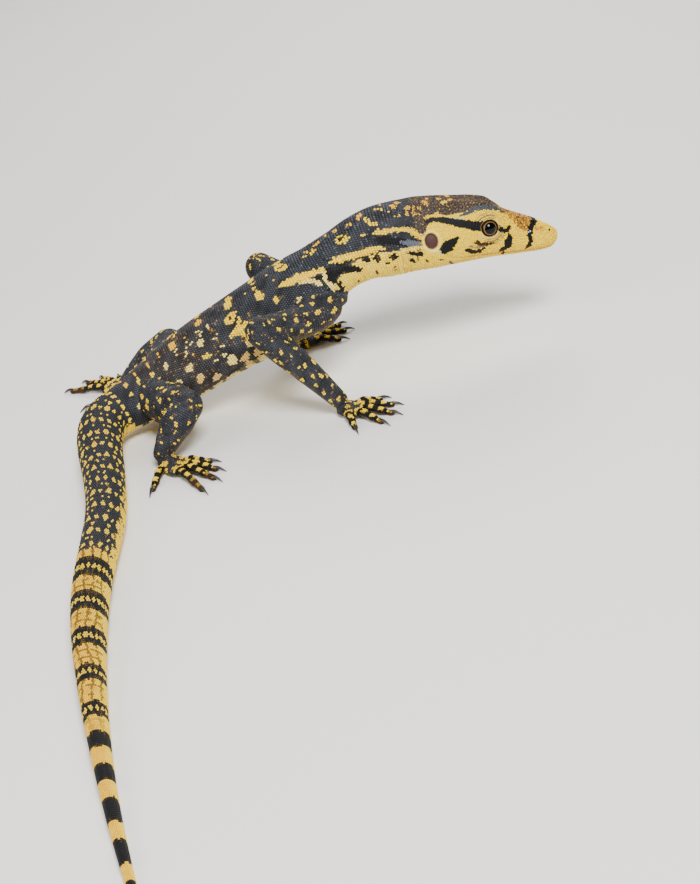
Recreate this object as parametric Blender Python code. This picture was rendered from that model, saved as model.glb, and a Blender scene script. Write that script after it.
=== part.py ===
"""A hatchling water monitor, life size, standing on a flat floor with its forebody raised.

Lengths are in millimetres and angles in degrees, and MM turns them to metres where a mesh is made.
+X is forward, +Y is the animal's left and +Z is up. Places along the body are measured back from
the snout tip, first along the trunk and then along the tail.
"""

import math
from collections import namedtuple

import bmesh
import bpy
import numpy as np
from mathutils import Matrix, Vector

MM = 0.001
GAP = 0.3  # left between neighbouring solids

# Places along the body, measured back from the snout tip
EYE_AT = 16.9
EAR_AT = 29.6
MOUTH_CORNER_AT = 22.5
NOSTRIL_AT = 4.2
HEAD_END = 32.0
NECK_END = 50.5
HIP_AT = 102.0
VENT_AT = 111.0
TAIL_LENGTH = 180.0
TAIL_SPLITS = (24.0, 62.0, 112.0)  # from the vent: where the tail is parted into lengths
HIP_HEIGHT = 8.8  # of the body's axis over the floor

# The axis of the body: its slope and its bend to the side at a few places
PITCH = (
    (0, -16), (24, -16), (31, -10), (37, 1), (43, 9), (49, 19), (55, 25), (61, 27), (67, 21), (73, 17),
    (82, 20), (92, 23), (100, 21), (107, 12), (111, 6),
)
TRUNK_BEND = ((0, 0), (84, 0), (99, 10), (111, 29))
TAIL_BEND = (
    (0, 29), (5, 63), (11, 87), (20, 94), (34, 92), (52, 83), (60, 83), (74, 87.5),
    (100, 93), (132, 97), (165, 101), (180, 103),
)
# The right cheek is turned up a little, and so is the right side of the tail
ROLL = ((0, 9), (30, 9), (52, 3), (66, 0), (122, 0), (160, 26), (291, 26))
TAIL_SETTLES = 26.0  # from the vent: where the tail lies on the floor
TAIL_SINK = 0.92  # height of the tail's axis as a share of its half depth, so its underside is flat
TAIL_HALVES = (
    (0, 5.4), (20, 5.15), (54, 4.4), (79, 4.0), (102, 3.0), (129, 1.85), (151, 1.2), (165, 0.75), (180, 0.3),
)

# Cross sections: heights and half widths about the axis, head first
Section = namedtuple("Section", "at top brow_half brow_z side_half side_z jaw_half jaw_z base")


def round_section(at, half, top, base, side_z=-0.9):
    """An oval section, its corners on the ellipse."""
    corner = math.sqrt(0.5)
    return Section(
        at, top, half * corner, side_z + (top - side_z) * corner, half, side_z,
        half * corner, side_z + (base - side_z) * corner, base,
    )


SECTIONS = (
    Section(0.25, 0.75, 0.80, 0.60, 1.35, -0.3, 0.90, -1.2, -1.4),
    Section(0.90, 1.35, 1.35, 1.10, 2.15, -0.5, 1.50, -2.1, -2.4),
    Section(2.00, 1.90, 1.70, 1.60, 2.80, -0.7, 2.00, -2.8, -3.1),
    Section(3.50, 2.45, 2.00, 2.15, 3.30, -0.9, 2.40, -3.2, -3.5),
    Section(5.50, 3.10, 2.35, 2.85, 3.80, -1.0, 2.80, -3.5, -3.9),
    Section(8.00, 3.70, 2.80, 3.50, 4.40, -1.0, 3.20, -3.8, -4.2),
    Section(10.5, 4.10, 3.30, 4.10, 5.00, -1.0, 3.70, -4.1, -4.5),
    Section(12.5, 4.60, 3.90, 4.70, 5.50, -0.8, 4.00, -4.3, -4.7),
    Section(14.5, 5.60, 4.60, 5.90, 6.00, -0.5, 4.30, -4.5, -4.9),
    Section(17.0, 6.70, 5.00, 7.00, 6.50, -0.3, 4.70, -4.8, -5.4),
    Section(20.0, 7.10, 4.90, 7.10, 7.00, -0.4, 5.10, -5.3, -6.1),
    Section(24.0, 7.30, 4.80, 6.80, 7.50, -0.8, 5.50, -5.9, -7.1),
    Section(28.0, 7.50, 4.90, 6.50, 7.60, -1.0, 5.60, -6.6, -7.9),
    Section(32.0, 7.60, 4.90, 6.30, 7.30, -1.0, 5.40, -6.9, -8.3),
    round_section(36.0, 7.2, 7.8, -8.8),
    round_section(40.0, 7.1, 7.9, -8.6),
    round_section(45.0, 6.9, 7.4, -7.5),
    round_section(50.0, 7.1, 6.7, -7.0),
    round_section(55.0, 8.0, 6.9, -7.3),
    round_section(60.0, 8.8, 7.8, -8.1),
    round_section(66.0, 9.1, 8.5, -9.3),
    round_section(72.0, 9.4, 8.1, -9.2),
    round_section(80.0, 9.8, 7.4, -8.6),
    round_section(92.0, 9.2, 7.0, -7.9),
    round_section(100.0, 7.8, 6.4, -6.8),
    round_section(106.0, 6.4, 5.9, -5.9, -0.4),
    round_section(111.0, 5.3, 5.4, -5.4, 0.0),
)

# Places round a section, in eighths of the way round from the top over the left side
LIP_ROUND = 2.72
NOSTRIL_ROUND = 1.32
EAR_ROUND = 1.97

EYE_RADIUS = 2.3
EYE_HEIGHT = 1.85  # over the head's axis
EYE_OUT = 4.5  # from the middle of the head to the eye's centre
EYE_AXIS = Vector((0.12, 1.0, 0.12)).normalized()  # forward, left, up
LID_RING = 2.3
LID_ROLL = 0.5
LID_FORWARD = 1.75  # from the eye's centre out to the lids' ring
EAR_HALVES = (0.6, 1.75, 1.5)  # of its hollow: deep, high, long
NOSTRIL_HALVES = (0.55, 0.38, 0.6)
LIP_CUT_DEPTH = 0.5
LIP_CUT_HALF = 0.17

# Limbs: joints in the frame whose zero is on the floor under the hip, and half thicknesses
Limb = namedtuple("Limb", "root joint middle end upper lower paw turn")
UPPER_ARM = (4.2, 4.1, 3.6, 3.3)
FOREARM = (3.4, 3.3, 2.7, 2.05)
THIGH = (4.7, 5.0, 4.7, 3.7)
SHANK = (3.7, 3.7, 3.0, 2.15)
LIMBS = {
    "foreleg_right": Limb(
        (44, -2, 22), (40.5, -7, 20.5), (27.5, -15, 23), (40.5, -17, 3.5), UPPER_ARM, FOREARM, "hand", -32,
    ),
    "foreleg_left": Limb(
        (44, 5, 22), (40.5, 9.5, 20.5), (30, 17, 24.5), (35, 20.5, 3.5), UPPER_ARM, FOREARM, "hand", 38,
    ),
    "hindleg_right": Limb(
        (3, -1, 9.5), (2, -6, 9), (8, -17, 11), (0.5, -21.5, 3.4), THIGH, SHANK, "foot", -52,
    ),
    "hindleg_left": Limb(
        (3, 1.5, 9.5), (2.5, 6, 9), (5, 17.5, 11), (-7, 19, 3.4), THIGH, SHANK, "foot", 138,
    ),
}
PIECE_NAMES = {"foreleg": ("upper_arm", "forearm", "hand"), "hindleg": ("thigh", "shank", "foot")}

# Hand and foot: each digit's angle from the axis (positive inwards), where it leaves the palm and its length
Digit = namedtuple("Digit", "angle along across length")
Paw = namedtuple("Paw", "palm half_width digits")
PAWS = {
    "hand": Paw(5.4, 3.0, (
        Digit(44, 3.6, 2.2, 4.8), Digit(21, 4.9, 1.4, 6.2), Digit(1, 5.2, 0.1, 7.0),
        Digit(-19, 4.9, -1.3, 6.9), Digit(-50, 3.4, -2.1, 5.2),
    )),
    "foot": Paw(6.8, 3.1, (
        Digit(38, 5.2, 2.3, 4.8), Digit(20, 6.3, 1.5, 6.8), Digit(5, 6.6, 0.3, 8.6),
        Digit(-12, 6.2, -1.2, 10.4), Digit(-58, 2.6, -2.0, 7.0),
    )),
}
# Palm rings: place along it as a share of its length, height of the middle, half width share, half height
PALM_STATIONS = (
    (-0.16, 1.15, 0.30, 0.70), (-0.06, 1.30, 0.62, 1.20), (0.14, 1.50, 0.84, 1.55), (0.40, 1.40, 0.92, 1.44),
    (0.68, 1.20, 1.00, 1.24), (0.90, 1.05, 0.96, 1.10), (1.06, 0.90, 0.70, 0.80),
)
WRIST_STUB = ((0, 0), (0.8, 0.04), (1.6, 0.2), (2.2, 0.5))  # beyond the wrist, and how far the ring shrinks
DIGIT_HALF = 0.82
DIGIT_ROOT = 1.2  # how far inside the palm a digit starts, and its height there
DIGIT_HEIGHTS = ((0, 1.2), (0.35, 1.7), (0.7, 1.05), (1, 0.52))  # share of the length, height
DIGIT_SHARES = (1.1, 1.05, 1.0, 0.98, 0.92, 0.9, 0.72)  # half thickness along it, as shares
CLAW_MARKS = ((-0.9, 0.15), (0.5, 0.42), (1.6, 0.12), (2.3, -0.3), (2.7, -0.5))  # ahead of and over the pad
CLAW_HALF = 0.46
CLAW_TIP_HALF = 0.12

COLOURS = {
    "yellow": (0.83, 0.63, 0.22),
    "slate": (0.045, 0.045, 0.055),
    "banded": (0.42, 0.31, 0.12),
    "eye": (0.01, 0.008, 0.008),
}


def smooth_through(points, places):
    """Values at places on a smooth curve through (place, value) points, with no overshoot."""
    xs, ys = (np.array(column, float) for column in zip(*points))
    places = np.clip(places, xs[0], xs[-1])
    widths = np.diff(xs)
    slopes = np.diff(ys) / widths
    knots = np.empty(len(xs))
    knots[0], knots[-1] = slopes[0], slopes[-1]
    before, after = slopes[:-1], slopes[1:]
    total = np.where(before + after == 0, 1, before + after)
    knots[1:-1] = np.where(before * after > 0, 2 * before * after / total, 0)
    i = np.clip(np.searchsorted(xs, places, side="right") - 1, 0, len(xs) - 2)
    t = (places - xs[i]) / widths[i]
    return (
        (2 * t**3 - 3 * t**2 + 1) * ys[i]
        + (t**3 - 2 * t**2 + t) * widths[i] * knots[i]
        + (3 * t**2 - 2 * t**3) * ys[i + 1]
        + (t**3 - t**2) * widths[i] * knots[i + 1]
    )


def ease(t):
    t = np.clip(t, 0, 1)
    return t * t * (3 - 2 * t)


def tail_half(along_tail):
    """Half depth of the tail."""
    return smooth_through(TAIL_HALVES, along_tail)


def body_axis(step=0.25):
    """The axis from the snout tip to the tail tip: places, points and forward directions."""
    at = np.arange(0, VENT_AT + TAIL_LENGTH + step / 2, step)
    pitch = np.radians(smooth_through(PITCH, at))
    bend = np.where(at > VENT_AT, smooth_through(TAIL_BEND, at - VENT_AT), smooth_through(TRUNK_BEND, at))
    bend = np.radians(bend)
    back = np.stack([-np.cos(pitch) * np.cos(bend), -np.cos(pitch) * np.sin(bend), -np.sin(pitch)], 1)
    points = np.concatenate([[[0, 0, 0]], np.cumsum((back[1:] + back[:-1]) / 2 * step, 0)])
    points -= points[int(HIP_AT / step)]
    points[:, 2] += HIP_HEIGHT
    vent = int(VENT_AT / step)
    half = tail_half(at[vent:] - VENT_AT)
    lift = points[vent, 2] - TAIL_SINK * half[0]
    points[vent:, 2] = TAIL_SINK * half + lift * (1 - ease((at[vent:] - VENT_AT) / TAIL_SETTLES))
    forward = -np.gradient(points, axis=0)
    return at, points, forward / np.linalg.norm(forward, axis=1)[:, None]


AXIS_AT, AXIS_POINTS, AXIS_FORWARD = body_axis()
SECTION_CURVES = {field: [(s.at, getattr(s, field)) for s in SECTIONS] for field in Section._fields[1:]}


def axis_frame(at):
    """The axis point, and the forward, left and up directions of the body there."""
    point = Vector([np.interp(at, AXIS_AT, AXIS_POINTS[:, k]) for k in range(3)])
    forward = Vector([np.interp(at, AXIS_AT, AXIS_FORWARD[:, k]) for k in range(3)]).normalized()
    level = Vector((0, 0, 1)).cross(forward).normalized()
    roll = math.radians(float(smooth_through(ROLL, at)))
    left = level * math.cos(roll) - forward.cross(level) * math.sin(roll)
    return point, forward, left, forward.cross(left)


def section_corners(at):
    """The eight corners (left, up) of the section there, from the top round over the left side."""
    if at > VENT_AT:
        half = float(tail_half(at - VENT_AT))
        share = 0.98 - 0.14 * float(ease((at - VENT_AT) / 50.0))  # the tail is deeper than it is wide
        turns = [math.radians(45 * k) for k in range(8)]
        return [(half * share * math.sin(a), half * math.cos(a)) for a in turns]
    s = Section(at, *(float(smooth_through(SECTION_CURVES[f], at)) for f in Section._fields[1:]))
    half = [(s.brow_half, s.brow_z), (s.side_half, s.side_z), (s.jaw_half, s.jaw_z)]
    return [(0, s.top), *half, (0, s.base), *[(-y, z) for y, z in reversed(half)]]


def round_point(corners, place):
    """The point at a place, in eighths, on the smooth closed curve through the corners."""
    k, t = int(math.floor(place)), place - math.floor(place)
    a, b, c, d = (corners[(k + n) % 8] for n in (-1, 0, 1, 2))
    return [
        0.5 * (2 * b[n] + (c[n] - a[n]) * t + (2 * a[n] - 5 * b[n] + 4 * c[n] - d[n]) * t**2
               + (3 * b[n] - a[n] - 3 * c[n] + d[n]) * t**3)
        for n in (0, 1)
    ]


def body_point(at, place, grow=0.0):
    """A point on the skin of the trunk or tail, or that far outside it."""
    point, _, left, up = axis_frame(at)
    y, z = round_point(section_corners(at), place)
    away = grow / max(math.hypot(y, z), 1e-6)
    return point + left * (y + y * away) + up * (z + z * away)


def body_ring(at, count, grow=0.0):
    return [body_point(at, 8 * k / count, grow) for k in range(count)]


def material(name, colour, roughness=0.55):
    found = bpy.data.materials.get(name)
    if found:
        return found
    made = bpy.data.materials.new(name)
    made.use_nodes = True
    surface = made.node_tree.nodes["Principled BSDF"]
    surface.inputs["Base Color"].default_value = (*colour, 1)
    surface.inputs["Roughness"].default_value = roughness
    surface.inputs["Metallic"].default_value = 0.0
    return made


def object_from(mesh_data, name, colour):
    """Makes an object from a bmesh, facing out and shaded smooth."""
    bmesh.ops.recalc_face_normals(mesh_data, faces=mesh_data.faces)
    mesh = bpy.data.meshes.new(name)
    mesh_data.to_mesh(mesh)
    mesh_data.free()
    mesh.materials.append(material(colour, COLOURS[colour]))
    mesh.shade_smooth()
    made = bpy.data.objects.new(name, mesh)
    bpy.context.scene.collection.objects.link(made)
    return made


def loft(name, rings, colour):
    """A closed solid through rings of points, with flat ends. A ring of one point closes to a tip."""
    mesh = bmesh.new()
    loops = [[mesh.verts.new(Vector(p) * MM) for p in ring] for ring in rings]
    for near, far in zip(loops, loops[1:]):
        count = max(len(near), len(far))
        for k in range(count):
            after = k + 1
            corners = [near[k % len(near)], near[after % len(near)], far[after % len(far)], far[k % len(far)]]
            mesh.faces.new(list(dict.fromkeys(corners)))
    for end in (loops[0], loops[-1]):
        if len(end) > 2:
            mesh.faces.new(end)
    return object_from(mesh, name, colour)


def ellipsoid(name, centre, axes, halves, segments=16, rings=10, colour="eye"):
    """A ball stretched to the three half sizes along the three axes."""
    mesh = bmesh.new()
    bmesh.ops.create_uvsphere(mesh, u_segments=segments, v_segments=rings, radius=1)
    turn = Matrix([axis * half * MM for axis, half in zip(axes, halves)]).transposed().to_4x4()
    bmesh.ops.transform(mesh, matrix=Matrix.Translation(Vector(centre) * MM) @ turn, verts=mesh.verts)
    return object_from(mesh, name, colour)


def ring_solid(name, centre, normal, radius, roll, colour, around=20, section=8):
    """A ring of round section."""
    side = normal.orthogonal().normalized()
    other = normal.cross(side)
    mesh = bmesh.new()
    loops = []
    for k in range(around):
        a = 2 * math.pi * k / around
        out = side * math.cos(a) + other * math.sin(a)
        turns = [2 * math.pi * n / section for n in range(section)]
        loops.append([
            mesh.verts.new((centre + out * (radius + roll * math.cos(b)) + normal * roll * math.sin(b)) * MM)
            for b in turns
        ])
    for k, loop in enumerate(loops):
        following = loops[(k + 1) % around]
        for n in range(section):
            m = (n + 1) % section
            mesh.faces.new((loop[n], loop[m], following[m], following[n]))
    return object_from(mesh, name, colour)


def combine(base, others, operation):
    """Joins the others to base, or cuts them out of it, in one Boolean, and removes them."""
    group = bpy.data.collections.new("pieces")
    for other in others:
        group.objects.link(other)
    modifier = base.modifiers.new(operation.title(), "BOOLEAN")
    modifier.operation = operation
    modifier.operand_type = "COLLECTION"
    modifier.collection = group
    modifier.solver = "EXACT"
    bpy.context.view_layer.update()
    result = bpy.data.meshes.new_from_object(base.evaluated_get(bpy.context.evaluated_depsgraph_get()))
    base.modifiers.clear()
    base.data = result
    for other in others:
        bpy.data.objects.remove(other)
    bpy.data.collections.remove(group)
    keep_largest(base)
    tidy_edges(base)


def tidy_edges(base):
    """Closes up slivers far finer than the surface."""
    mesh = bmesh.new()
    mesh.from_mesh(base.data)
    bmesh.ops.dissolve_degenerate(mesh, dist=0.002 * MM, edges=mesh.edges)
    mesh.to_mesh(base.data)
    mesh.free()


def keep_largest(base):
    """Keeps the closed surface that takes up the most room, and drops loose scraps."""
    mesh = bmesh.new()
    mesh.from_mesh(base.data)
    unseen = set(mesh.verts)
    islands = []
    while unseen:
        waiting = [unseen.pop()]
        island = []
        while waiting:
            vert = waiting.pop()
            island.append(vert)
            for edge in vert.link_edges:
                other = edge.other_vert(vert)
                if other in unseen:
                    unseen.remove(other)
                    waiting.append(other)
        islands.append(island)
    if len(islands) > 1:
        def room(island):
            return math.prod(max(v.co[k] for v in island) - min(v.co[k] for v in island) for k in range(3))
        islands.sort(key=room)
        for island in islands[:-1]:
            bmesh.ops.delete(mesh, geom=island, context="VERTS")
        mesh.to_mesh(base.data)
    mesh.free()


def floor_cutter():
    """A slab under the floor, which leaves small flats where the animal rests."""
    mesh = bmesh.new()
    bmesh.ops.create_cube(mesh, size=1)
    size = Vector((0.4, 0.5, 0.01))
    bmesh.ops.transform(mesh, matrix=Matrix.Diagonal(size.to_4d()), verts=mesh.verts)
    bmesh.ops.translate(mesh, vec=(0.03, -0.05, -size.z / 2), verts=mesh.verts)
    return object_from(mesh, "floor_cutter", "slate")


def body_solid(name, start, end, spacing, count, colour):
    """A length of the trunk or tail, half the gap short at each end that has a neighbour."""
    first = start + GAP / 2
    last = end - GAP / 2 if end < VENT_AT + TAIL_LENGTH else end
    steps = max(2, round((last - first) / spacing))
    rings = [body_ring(first + (last - first) * k / steps, count) for k in range(steps + 1)]
    return loft(name, rings, colour)


def mouth_cutter():
    """A thin band let into the lips from one corner of the mouth, round the snout, to the other."""
    places = [MOUTH_CORNER_AT - k * (MOUTH_CORNER_AT - 0.9) / 11 for k in range(12)]
    path = [(at, body_point(at, LIP_ROUND)) for at in places]
    tip, forward, left, up = axis_frame(0)
    for ahead, y in ((-0.3, 1.1), (0, 0), (-0.3, -1.1)):
        path.append((0.2, tip + forward * ahead + left * y - up * 1.25))
    path += [(at, body_point(at, 8 - LIP_ROUND)) for at in reversed(places)]
    rings = []
    for at, point in path:
        centre, _, _, up = axis_frame(max(at, 4.0))
        out = point - centre
        out = (out - up * out.dot(up)).normalized()
        inner, outer, rise = point - out * LIP_CUT_DEPTH, point + out * LIP_CUT_DEPTH * 2, up * LIP_CUT_HALF
        rings.append([inner + rise, outer + rise, outer - rise, inner - rise])
    return loft("mouth_cutter", rings, "eye")


def eye_centre(side):
    point, forward, left, up = axis_frame(EYE_AT)
    return point + left * side * EYE_OUT + up * EYE_HEIGHT


def eye_direction(side):
    _, forward, left, up = axis_frame(EYE_AT)
    return (forward * EYE_AXIS.x + left * side * EYE_AXIS.y + up * EYE_AXIS.z).normalized()


def make_head():
    places = (0.25, 0.8, 1.6, 2.6, 3.9, 5.4, 7.0, 8.6, 10.2, 11.7, 13.0, 14.3, 15.6, 17.0, 18.6, 20.4,
              22.4, 24.6, 27.0, 29.5, HEAD_END - GAP / 2)
    tip, _, _, up = axis_frame(0)
    head = loft("head", [[tip - up * 0.3]] + [body_ring(at, 32) for at in places], "yellow")
    cuts = [mouth_cutter()]
    lids = []
    for side in (1, -1):
        centre, out = eye_centre(side), eye_direction(side)
        lids.append(ring_solid("lids", centre + out * LID_FORWARD, out, LID_RING, LID_ROLL, "yellow"))
        cuts.append(ellipsoid("socket", centre, frame_along(out), [EYE_RADIUS + GAP] * 3))
        for at, place, halves in (
            (EAR_AT, EAR_ROUND, EAR_HALVES),
            (NOSTRIL_AT, NOSTRIL_ROUND, NOSTRIL_HALVES),
        ):
            round_place = place if side > 0 else 8 - place
            _, forward, left, up = axis_frame(at)
            cuts.append(ellipsoid("hollow", body_point(at, round_place), (left, up, forward), halves, 12, 8))
    combine(head, lids, "UNION")
    combine(head, cuts, "DIFFERENCE")
    return head


def frame_along(normal):
    side = normal.orthogonal().normalized()
    return normal, side, normal.cross(side)


def make_eye(name, side):
    return ellipsoid(name, eye_centre(side), frame_along(eye_direction(side)), [EYE_RADIUS] * 3, 18, 12)


def curve_through(points, count):
    """Points spread evenly on a smooth curve through a few points."""
    points = [Vector(p) for p in points]
    padded = [points[0] * 2 - points[1], *points, points[-1] * 2 - points[-2]]
    fine = []
    for a, b, c, d in zip(padded, padded[1:], padded[2:], padded[3:]):
        for k in range(20):
            t = k / 20
            fine.append(0.5 * (2 * b + (c - a) * t + (2 * a - 5 * b + 4 * c - d) * t**2
                               + (3 * b - a - 3 * c + d) * t**3))
    fine.append(points[-1])
    lengths = np.concatenate([[0], np.cumsum([(q - p).length for p, q in zip(fine, fine[1:])])])
    wanted = np.linspace(0, lengths[-1], count)
    return [Vector([np.interp(w, lengths, [p[k] for p in fine]) for k in range(3)]) for w in wanted]


def tube_rings(path, halves, sides):
    """Rings square to a path, each with a corner out to the side."""
    rings = []
    for k, (point, half) in enumerate(zip(path, halves)):
        along = (path[min(k + 1, len(path) - 1)] - path[max(k - 1, 0)]).normalized()
        across = Vector((0, 0, 1)).cross(along)
        across = across.normalized() if across.length > 0.05 else Vector((0, 1, 0))
        over = along.cross(across)
        turns = [2 * math.pi * n / sides for n in range(sides)]
        rings.append([point + across * half * math.cos(a) + over * half * math.sin(a) for a in turns])
    return rings


def carried_rings(path, halves, sides):
    """Rings square to a path whose corners don't twist from one ring to the next."""
    rings = []
    along = (path[1] - path[0]).normalized()
    across = along.orthogonal().normalized()
    for k, (point, half) in enumerate(zip(path, halves)):
        turned = (path[min(k + 1, len(path) - 1)] - path[max(k - 1, 0)]).normalized()
        across.rotate(along.rotation_difference(turned))
        along = turned
        over = along.cross(across)
        turns = [2 * math.pi * n / sides for n in range(sides)]
        rings.append([point + across * half * math.cos(a) + over * half * math.sin(a) for a in turns])
    return rings


def halved(name, rings, point, normal, keep_behind):
    """A closed tube cut flat by a plane, which keeps the part behind it or ahead of it."""
    made = loft(name, rings, "slate")
    mesh = bmesh.new()
    mesh.from_mesh(made.data)
    bmesh.ops.bisect_plane(
        mesh, geom=[*mesh.verts, *mesh.edges, *mesh.faces], plane_co=point * MM, plane_no=normal,
        clear_outer=keep_behind, clear_inner=not keep_behind,
    )
    bmesh.ops.holes_fill(mesh, edges=[e for e in mesh.edges if len(e.link_faces) == 1])
    bmesh.ops.recalc_face_normals(mesh, faces=mesh.faces)
    mesh.to_mesh(made.data)
    mesh.free()
    keep_largest(made)
    tidy_edges(made)
    return made


def bowed_rings(marks, halves, count, round_first=False, round_last=False):
    """Rings of a tube through a few places, with a round end where another tube meets it."""
    path = curve_through(marks, count)
    widths = smooth_through(list(zip(np.linspace(0, count - 1, len(halves)), halves)), np.arange(count))
    rings = carried_rings(path, widths, 14)
    caps = [(math.sin(math.radians(a)), math.cos(math.radians(a))) for a in (32, 62)]

    def rounded(ring, centre, away, half):
        over = [[centre + (p - centre) * c + away * half * s for p in ring] for s, c in caps]
        return [*over, [centre + away * half]]

    if round_last:
        rings += rounded(rings[-1], path[-1], (path[-1] - path[-2]).normalized(), widths[-1])
    if round_first:
        rings = rounded(rings[0], path[0], (path[0] - path[1]).normalized(), widths[0])[::-1] + rings
    return rings


def make_limb(name, limb, trunk_grown):
    """The upper and the lower length of a limb, parted at the middle joint, and its hand or foot."""
    upper_name, lower_name, paw_name = (
        f"{piece}_{name.split('_')[1]}" for piece in PIECE_NAMES[name.split("_")[0]]
    )
    root, joint, middle, end = (Vector(p) for p in limb[:4])
    into, out_of = (middle - joint).normalized(), (end - middle).normalized()
    normal = (into + out_of).normalized()
    sag = Vector((0, 0, -0.8))
    upper_marks = [root, joint, joint.lerp(middle, 0.5) + sag, middle]
    upper_rings = bowed_rings(upper_marks, limb.upper, 10, round_last=True)
    upper = halved(upper_name, upper_rings, middle - normal * GAP / 2, normal, True)
    cutter = trunk_grown.copy()
    cutter.data = trunk_grown.data.copy()
    combine(upper, [cutter], "DIFFERENCE")
    lower_marks = [middle, middle.lerp(end, 0.5) - sag * 0.4, end]
    lower_rings = bowed_rings(lower_marks, limb.lower, 9, round_first=True)
    last = lower_rings[-1]
    wrist = (end - middle.lerp(end, 0.8)).normalized()
    lower_rings[-1] = [p - wrist * GAP / 2 for p in last]
    halved(lower_name, lower_rings, middle + normal * GAP / 2, normal, False)
    grown = [[c + (p - c) * (1 + GAP / 2.5) for p in ring] for ring in lower_rings[5:-1] + [last]
             for c in [sum(ring, Vector()) / len(ring)]]
    wrist_ring = [p + wrist * GAP / 2 for p in last]
    make_paw(paw_name, limb, wrist_ring, end, wrist, loft("limb_cutter", grown, "slate"))


def digit_path(start, heading, length):
    """A digit leaves the palm, arches over its middle joint and comes down on its last pad."""
    return [start + heading * length * share + Vector((0, 0, z)) for share, z in DIGIT_HEIGHTS]


def claw_rings(tip, heading):
    """A claw springs from the top of the last pad and curves over and down to the floor."""
    path = curve_through([tip + heading * x + Vector((0, 0, z)) for x, z in CLAW_MARKS], 6)
    halves = [CLAW_HALF * (1 - k / 5) ** 0.8 + CLAW_TIP_HALF for k in range(6)]
    return tube_rings(path, halves, 6)


def make_paw(name, limb, wrist_ring, wrist, along, limb_grown):
    """A palm, five digits and their claws, joined and set flat on the floor."""
    paw = PAWS[limb.paw]
    inward = 1 if limb.turn < 0 else -1
    axis = Vector((math.cos(math.radians(limb.turn)), math.sin(math.radians(limb.turn)), 0))
    inner = Vector((-axis.y, axis.x, 0)) * inward
    ground = Vector((wrist.x, wrist.y, 0))
    rings = []
    for share, z, width, height in PALM_STATIONS:
        middle = ground + axis * paw.palm * share + Vector((0, 0, z))
        turns = [2 * math.pi * k / 14 for k in range(14)]
        across = inner * paw.half_width * width
        rings.append([middle + across * math.cos(a) + Vector((0, 0, height)) * math.sin(a) for a in turns])
    palm = loft(name, rings, "slate")
    stub = [[p + along * reach + (wrist - p) * shrink for p in wrist_ring] for reach, shrink in WRIST_STUB]
    pieces = [loft("stub", stub, "slate")]
    for digit in paw.digits:
        turn = math.radians(limb.turn + inward * digit.angle)
        heading = Vector((math.cos(turn), math.sin(turn), 0))
        root = ground + axis * (digit.along - DIGIT_ROOT) + inner * digit.across * 0.75
        marks = digit_path(root, heading, digit.length + DIGIT_ROOT)
        path = curve_through(marks, len(DIGIT_SHARES))
        halves = [DIGIT_HALF * share for share in DIGIT_SHARES]
        path.append(path[-1] + heading * 0.35)
        halves.append(DIGIT_HALF * 0.3)
        pieces.append(loft("digit", tube_rings(path, halves, 8), "slate"))
        pieces.append(loft("claw", claw_rings(marks[-1], heading), "eye"))
    combine(palm, pieces, "UNION")
    combine(palm, [floor_cutter(), limb_grown], "DIFFERENCE")


def make_trunk():
    body_solid("neck", HEAD_END, NECK_END, 3.0, 24, "yellow")
    body_solid("torso", NECK_END, VENT_AT - 2, 3.2, 24, "slate")
    splits = [VENT_AT - 2, *(VENT_AT + at for at in TAIL_SPLITS), VENT_AT + TAIL_LENGTH]
    names = ("tail_base", "tail_middle", "tail_rear", "tail_tip")
    for name, start, end, count in zip(names, splits, splits[1:], (20, 16, 14, 12)):
        length = body_solid(name, start, end, 3.2, count, "banded")
        combine(length, [floor_cutter()], "DIFFERENCE")


def stand_on_origin():
    """Moves the whole animal so that the middle of its box is over the origin."""
    shown = [o for o in bpy.context.scene.objects if not o.hide_render]
    corners = np.array([v.co for o in shown for v in o.data.vertices])
    middle = (corners.min(0) + corners.max(0)) / 2
    shift = Matrix.Translation((-middle[0], -middle[1], 0))
    for o in shown:
        o.data.transform(shift)


def main():
    for o in list(bpy.data.objects):
        bpy.data.objects.remove(o)
    make_head()
    make_eye("eye_left", 1)
    make_eye("eye_right", -1)
    make_trunk()
    places = np.arange(40.0, 131.0, 2.6)
    trunk_grown = loft("trunk_cutter", [body_ring(at, 24, GAP) for at in places], "slate")
    for name, limb in LIMBS.items():
        make_limb(name, limb, trunk_grown)
    bpy.data.objects.remove(trunk_grown)
    stand_on_origin()


main()
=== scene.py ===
import math
import bpy
import numpy as np
from mathutils import Matrix, Vector
from mathutils.bvhtree import BVHTree


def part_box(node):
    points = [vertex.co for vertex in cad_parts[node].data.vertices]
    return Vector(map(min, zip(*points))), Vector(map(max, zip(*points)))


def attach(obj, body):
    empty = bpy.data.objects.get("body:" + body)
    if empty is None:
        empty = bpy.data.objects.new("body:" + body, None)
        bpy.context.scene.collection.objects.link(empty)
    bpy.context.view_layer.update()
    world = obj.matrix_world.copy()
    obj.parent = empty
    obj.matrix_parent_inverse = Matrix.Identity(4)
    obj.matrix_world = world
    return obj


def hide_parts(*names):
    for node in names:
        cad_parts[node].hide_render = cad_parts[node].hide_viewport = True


# A hatchling water monitor, life size. Shapes are worked out in millimetres and turned to metres at the end.
# Along the body, s is the distance back from the snout tip, and angles run round from the top of the back.

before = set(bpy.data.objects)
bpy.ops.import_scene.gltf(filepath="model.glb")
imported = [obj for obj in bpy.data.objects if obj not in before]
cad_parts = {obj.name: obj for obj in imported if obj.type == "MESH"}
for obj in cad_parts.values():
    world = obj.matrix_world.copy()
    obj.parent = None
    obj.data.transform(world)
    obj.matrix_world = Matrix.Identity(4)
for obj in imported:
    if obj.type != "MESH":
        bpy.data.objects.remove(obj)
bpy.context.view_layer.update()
print("stage: frame loaded")

millimetre = 0.001
rng = np.random.default_rng(4127)

# Form of the body, as in the solids

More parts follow.
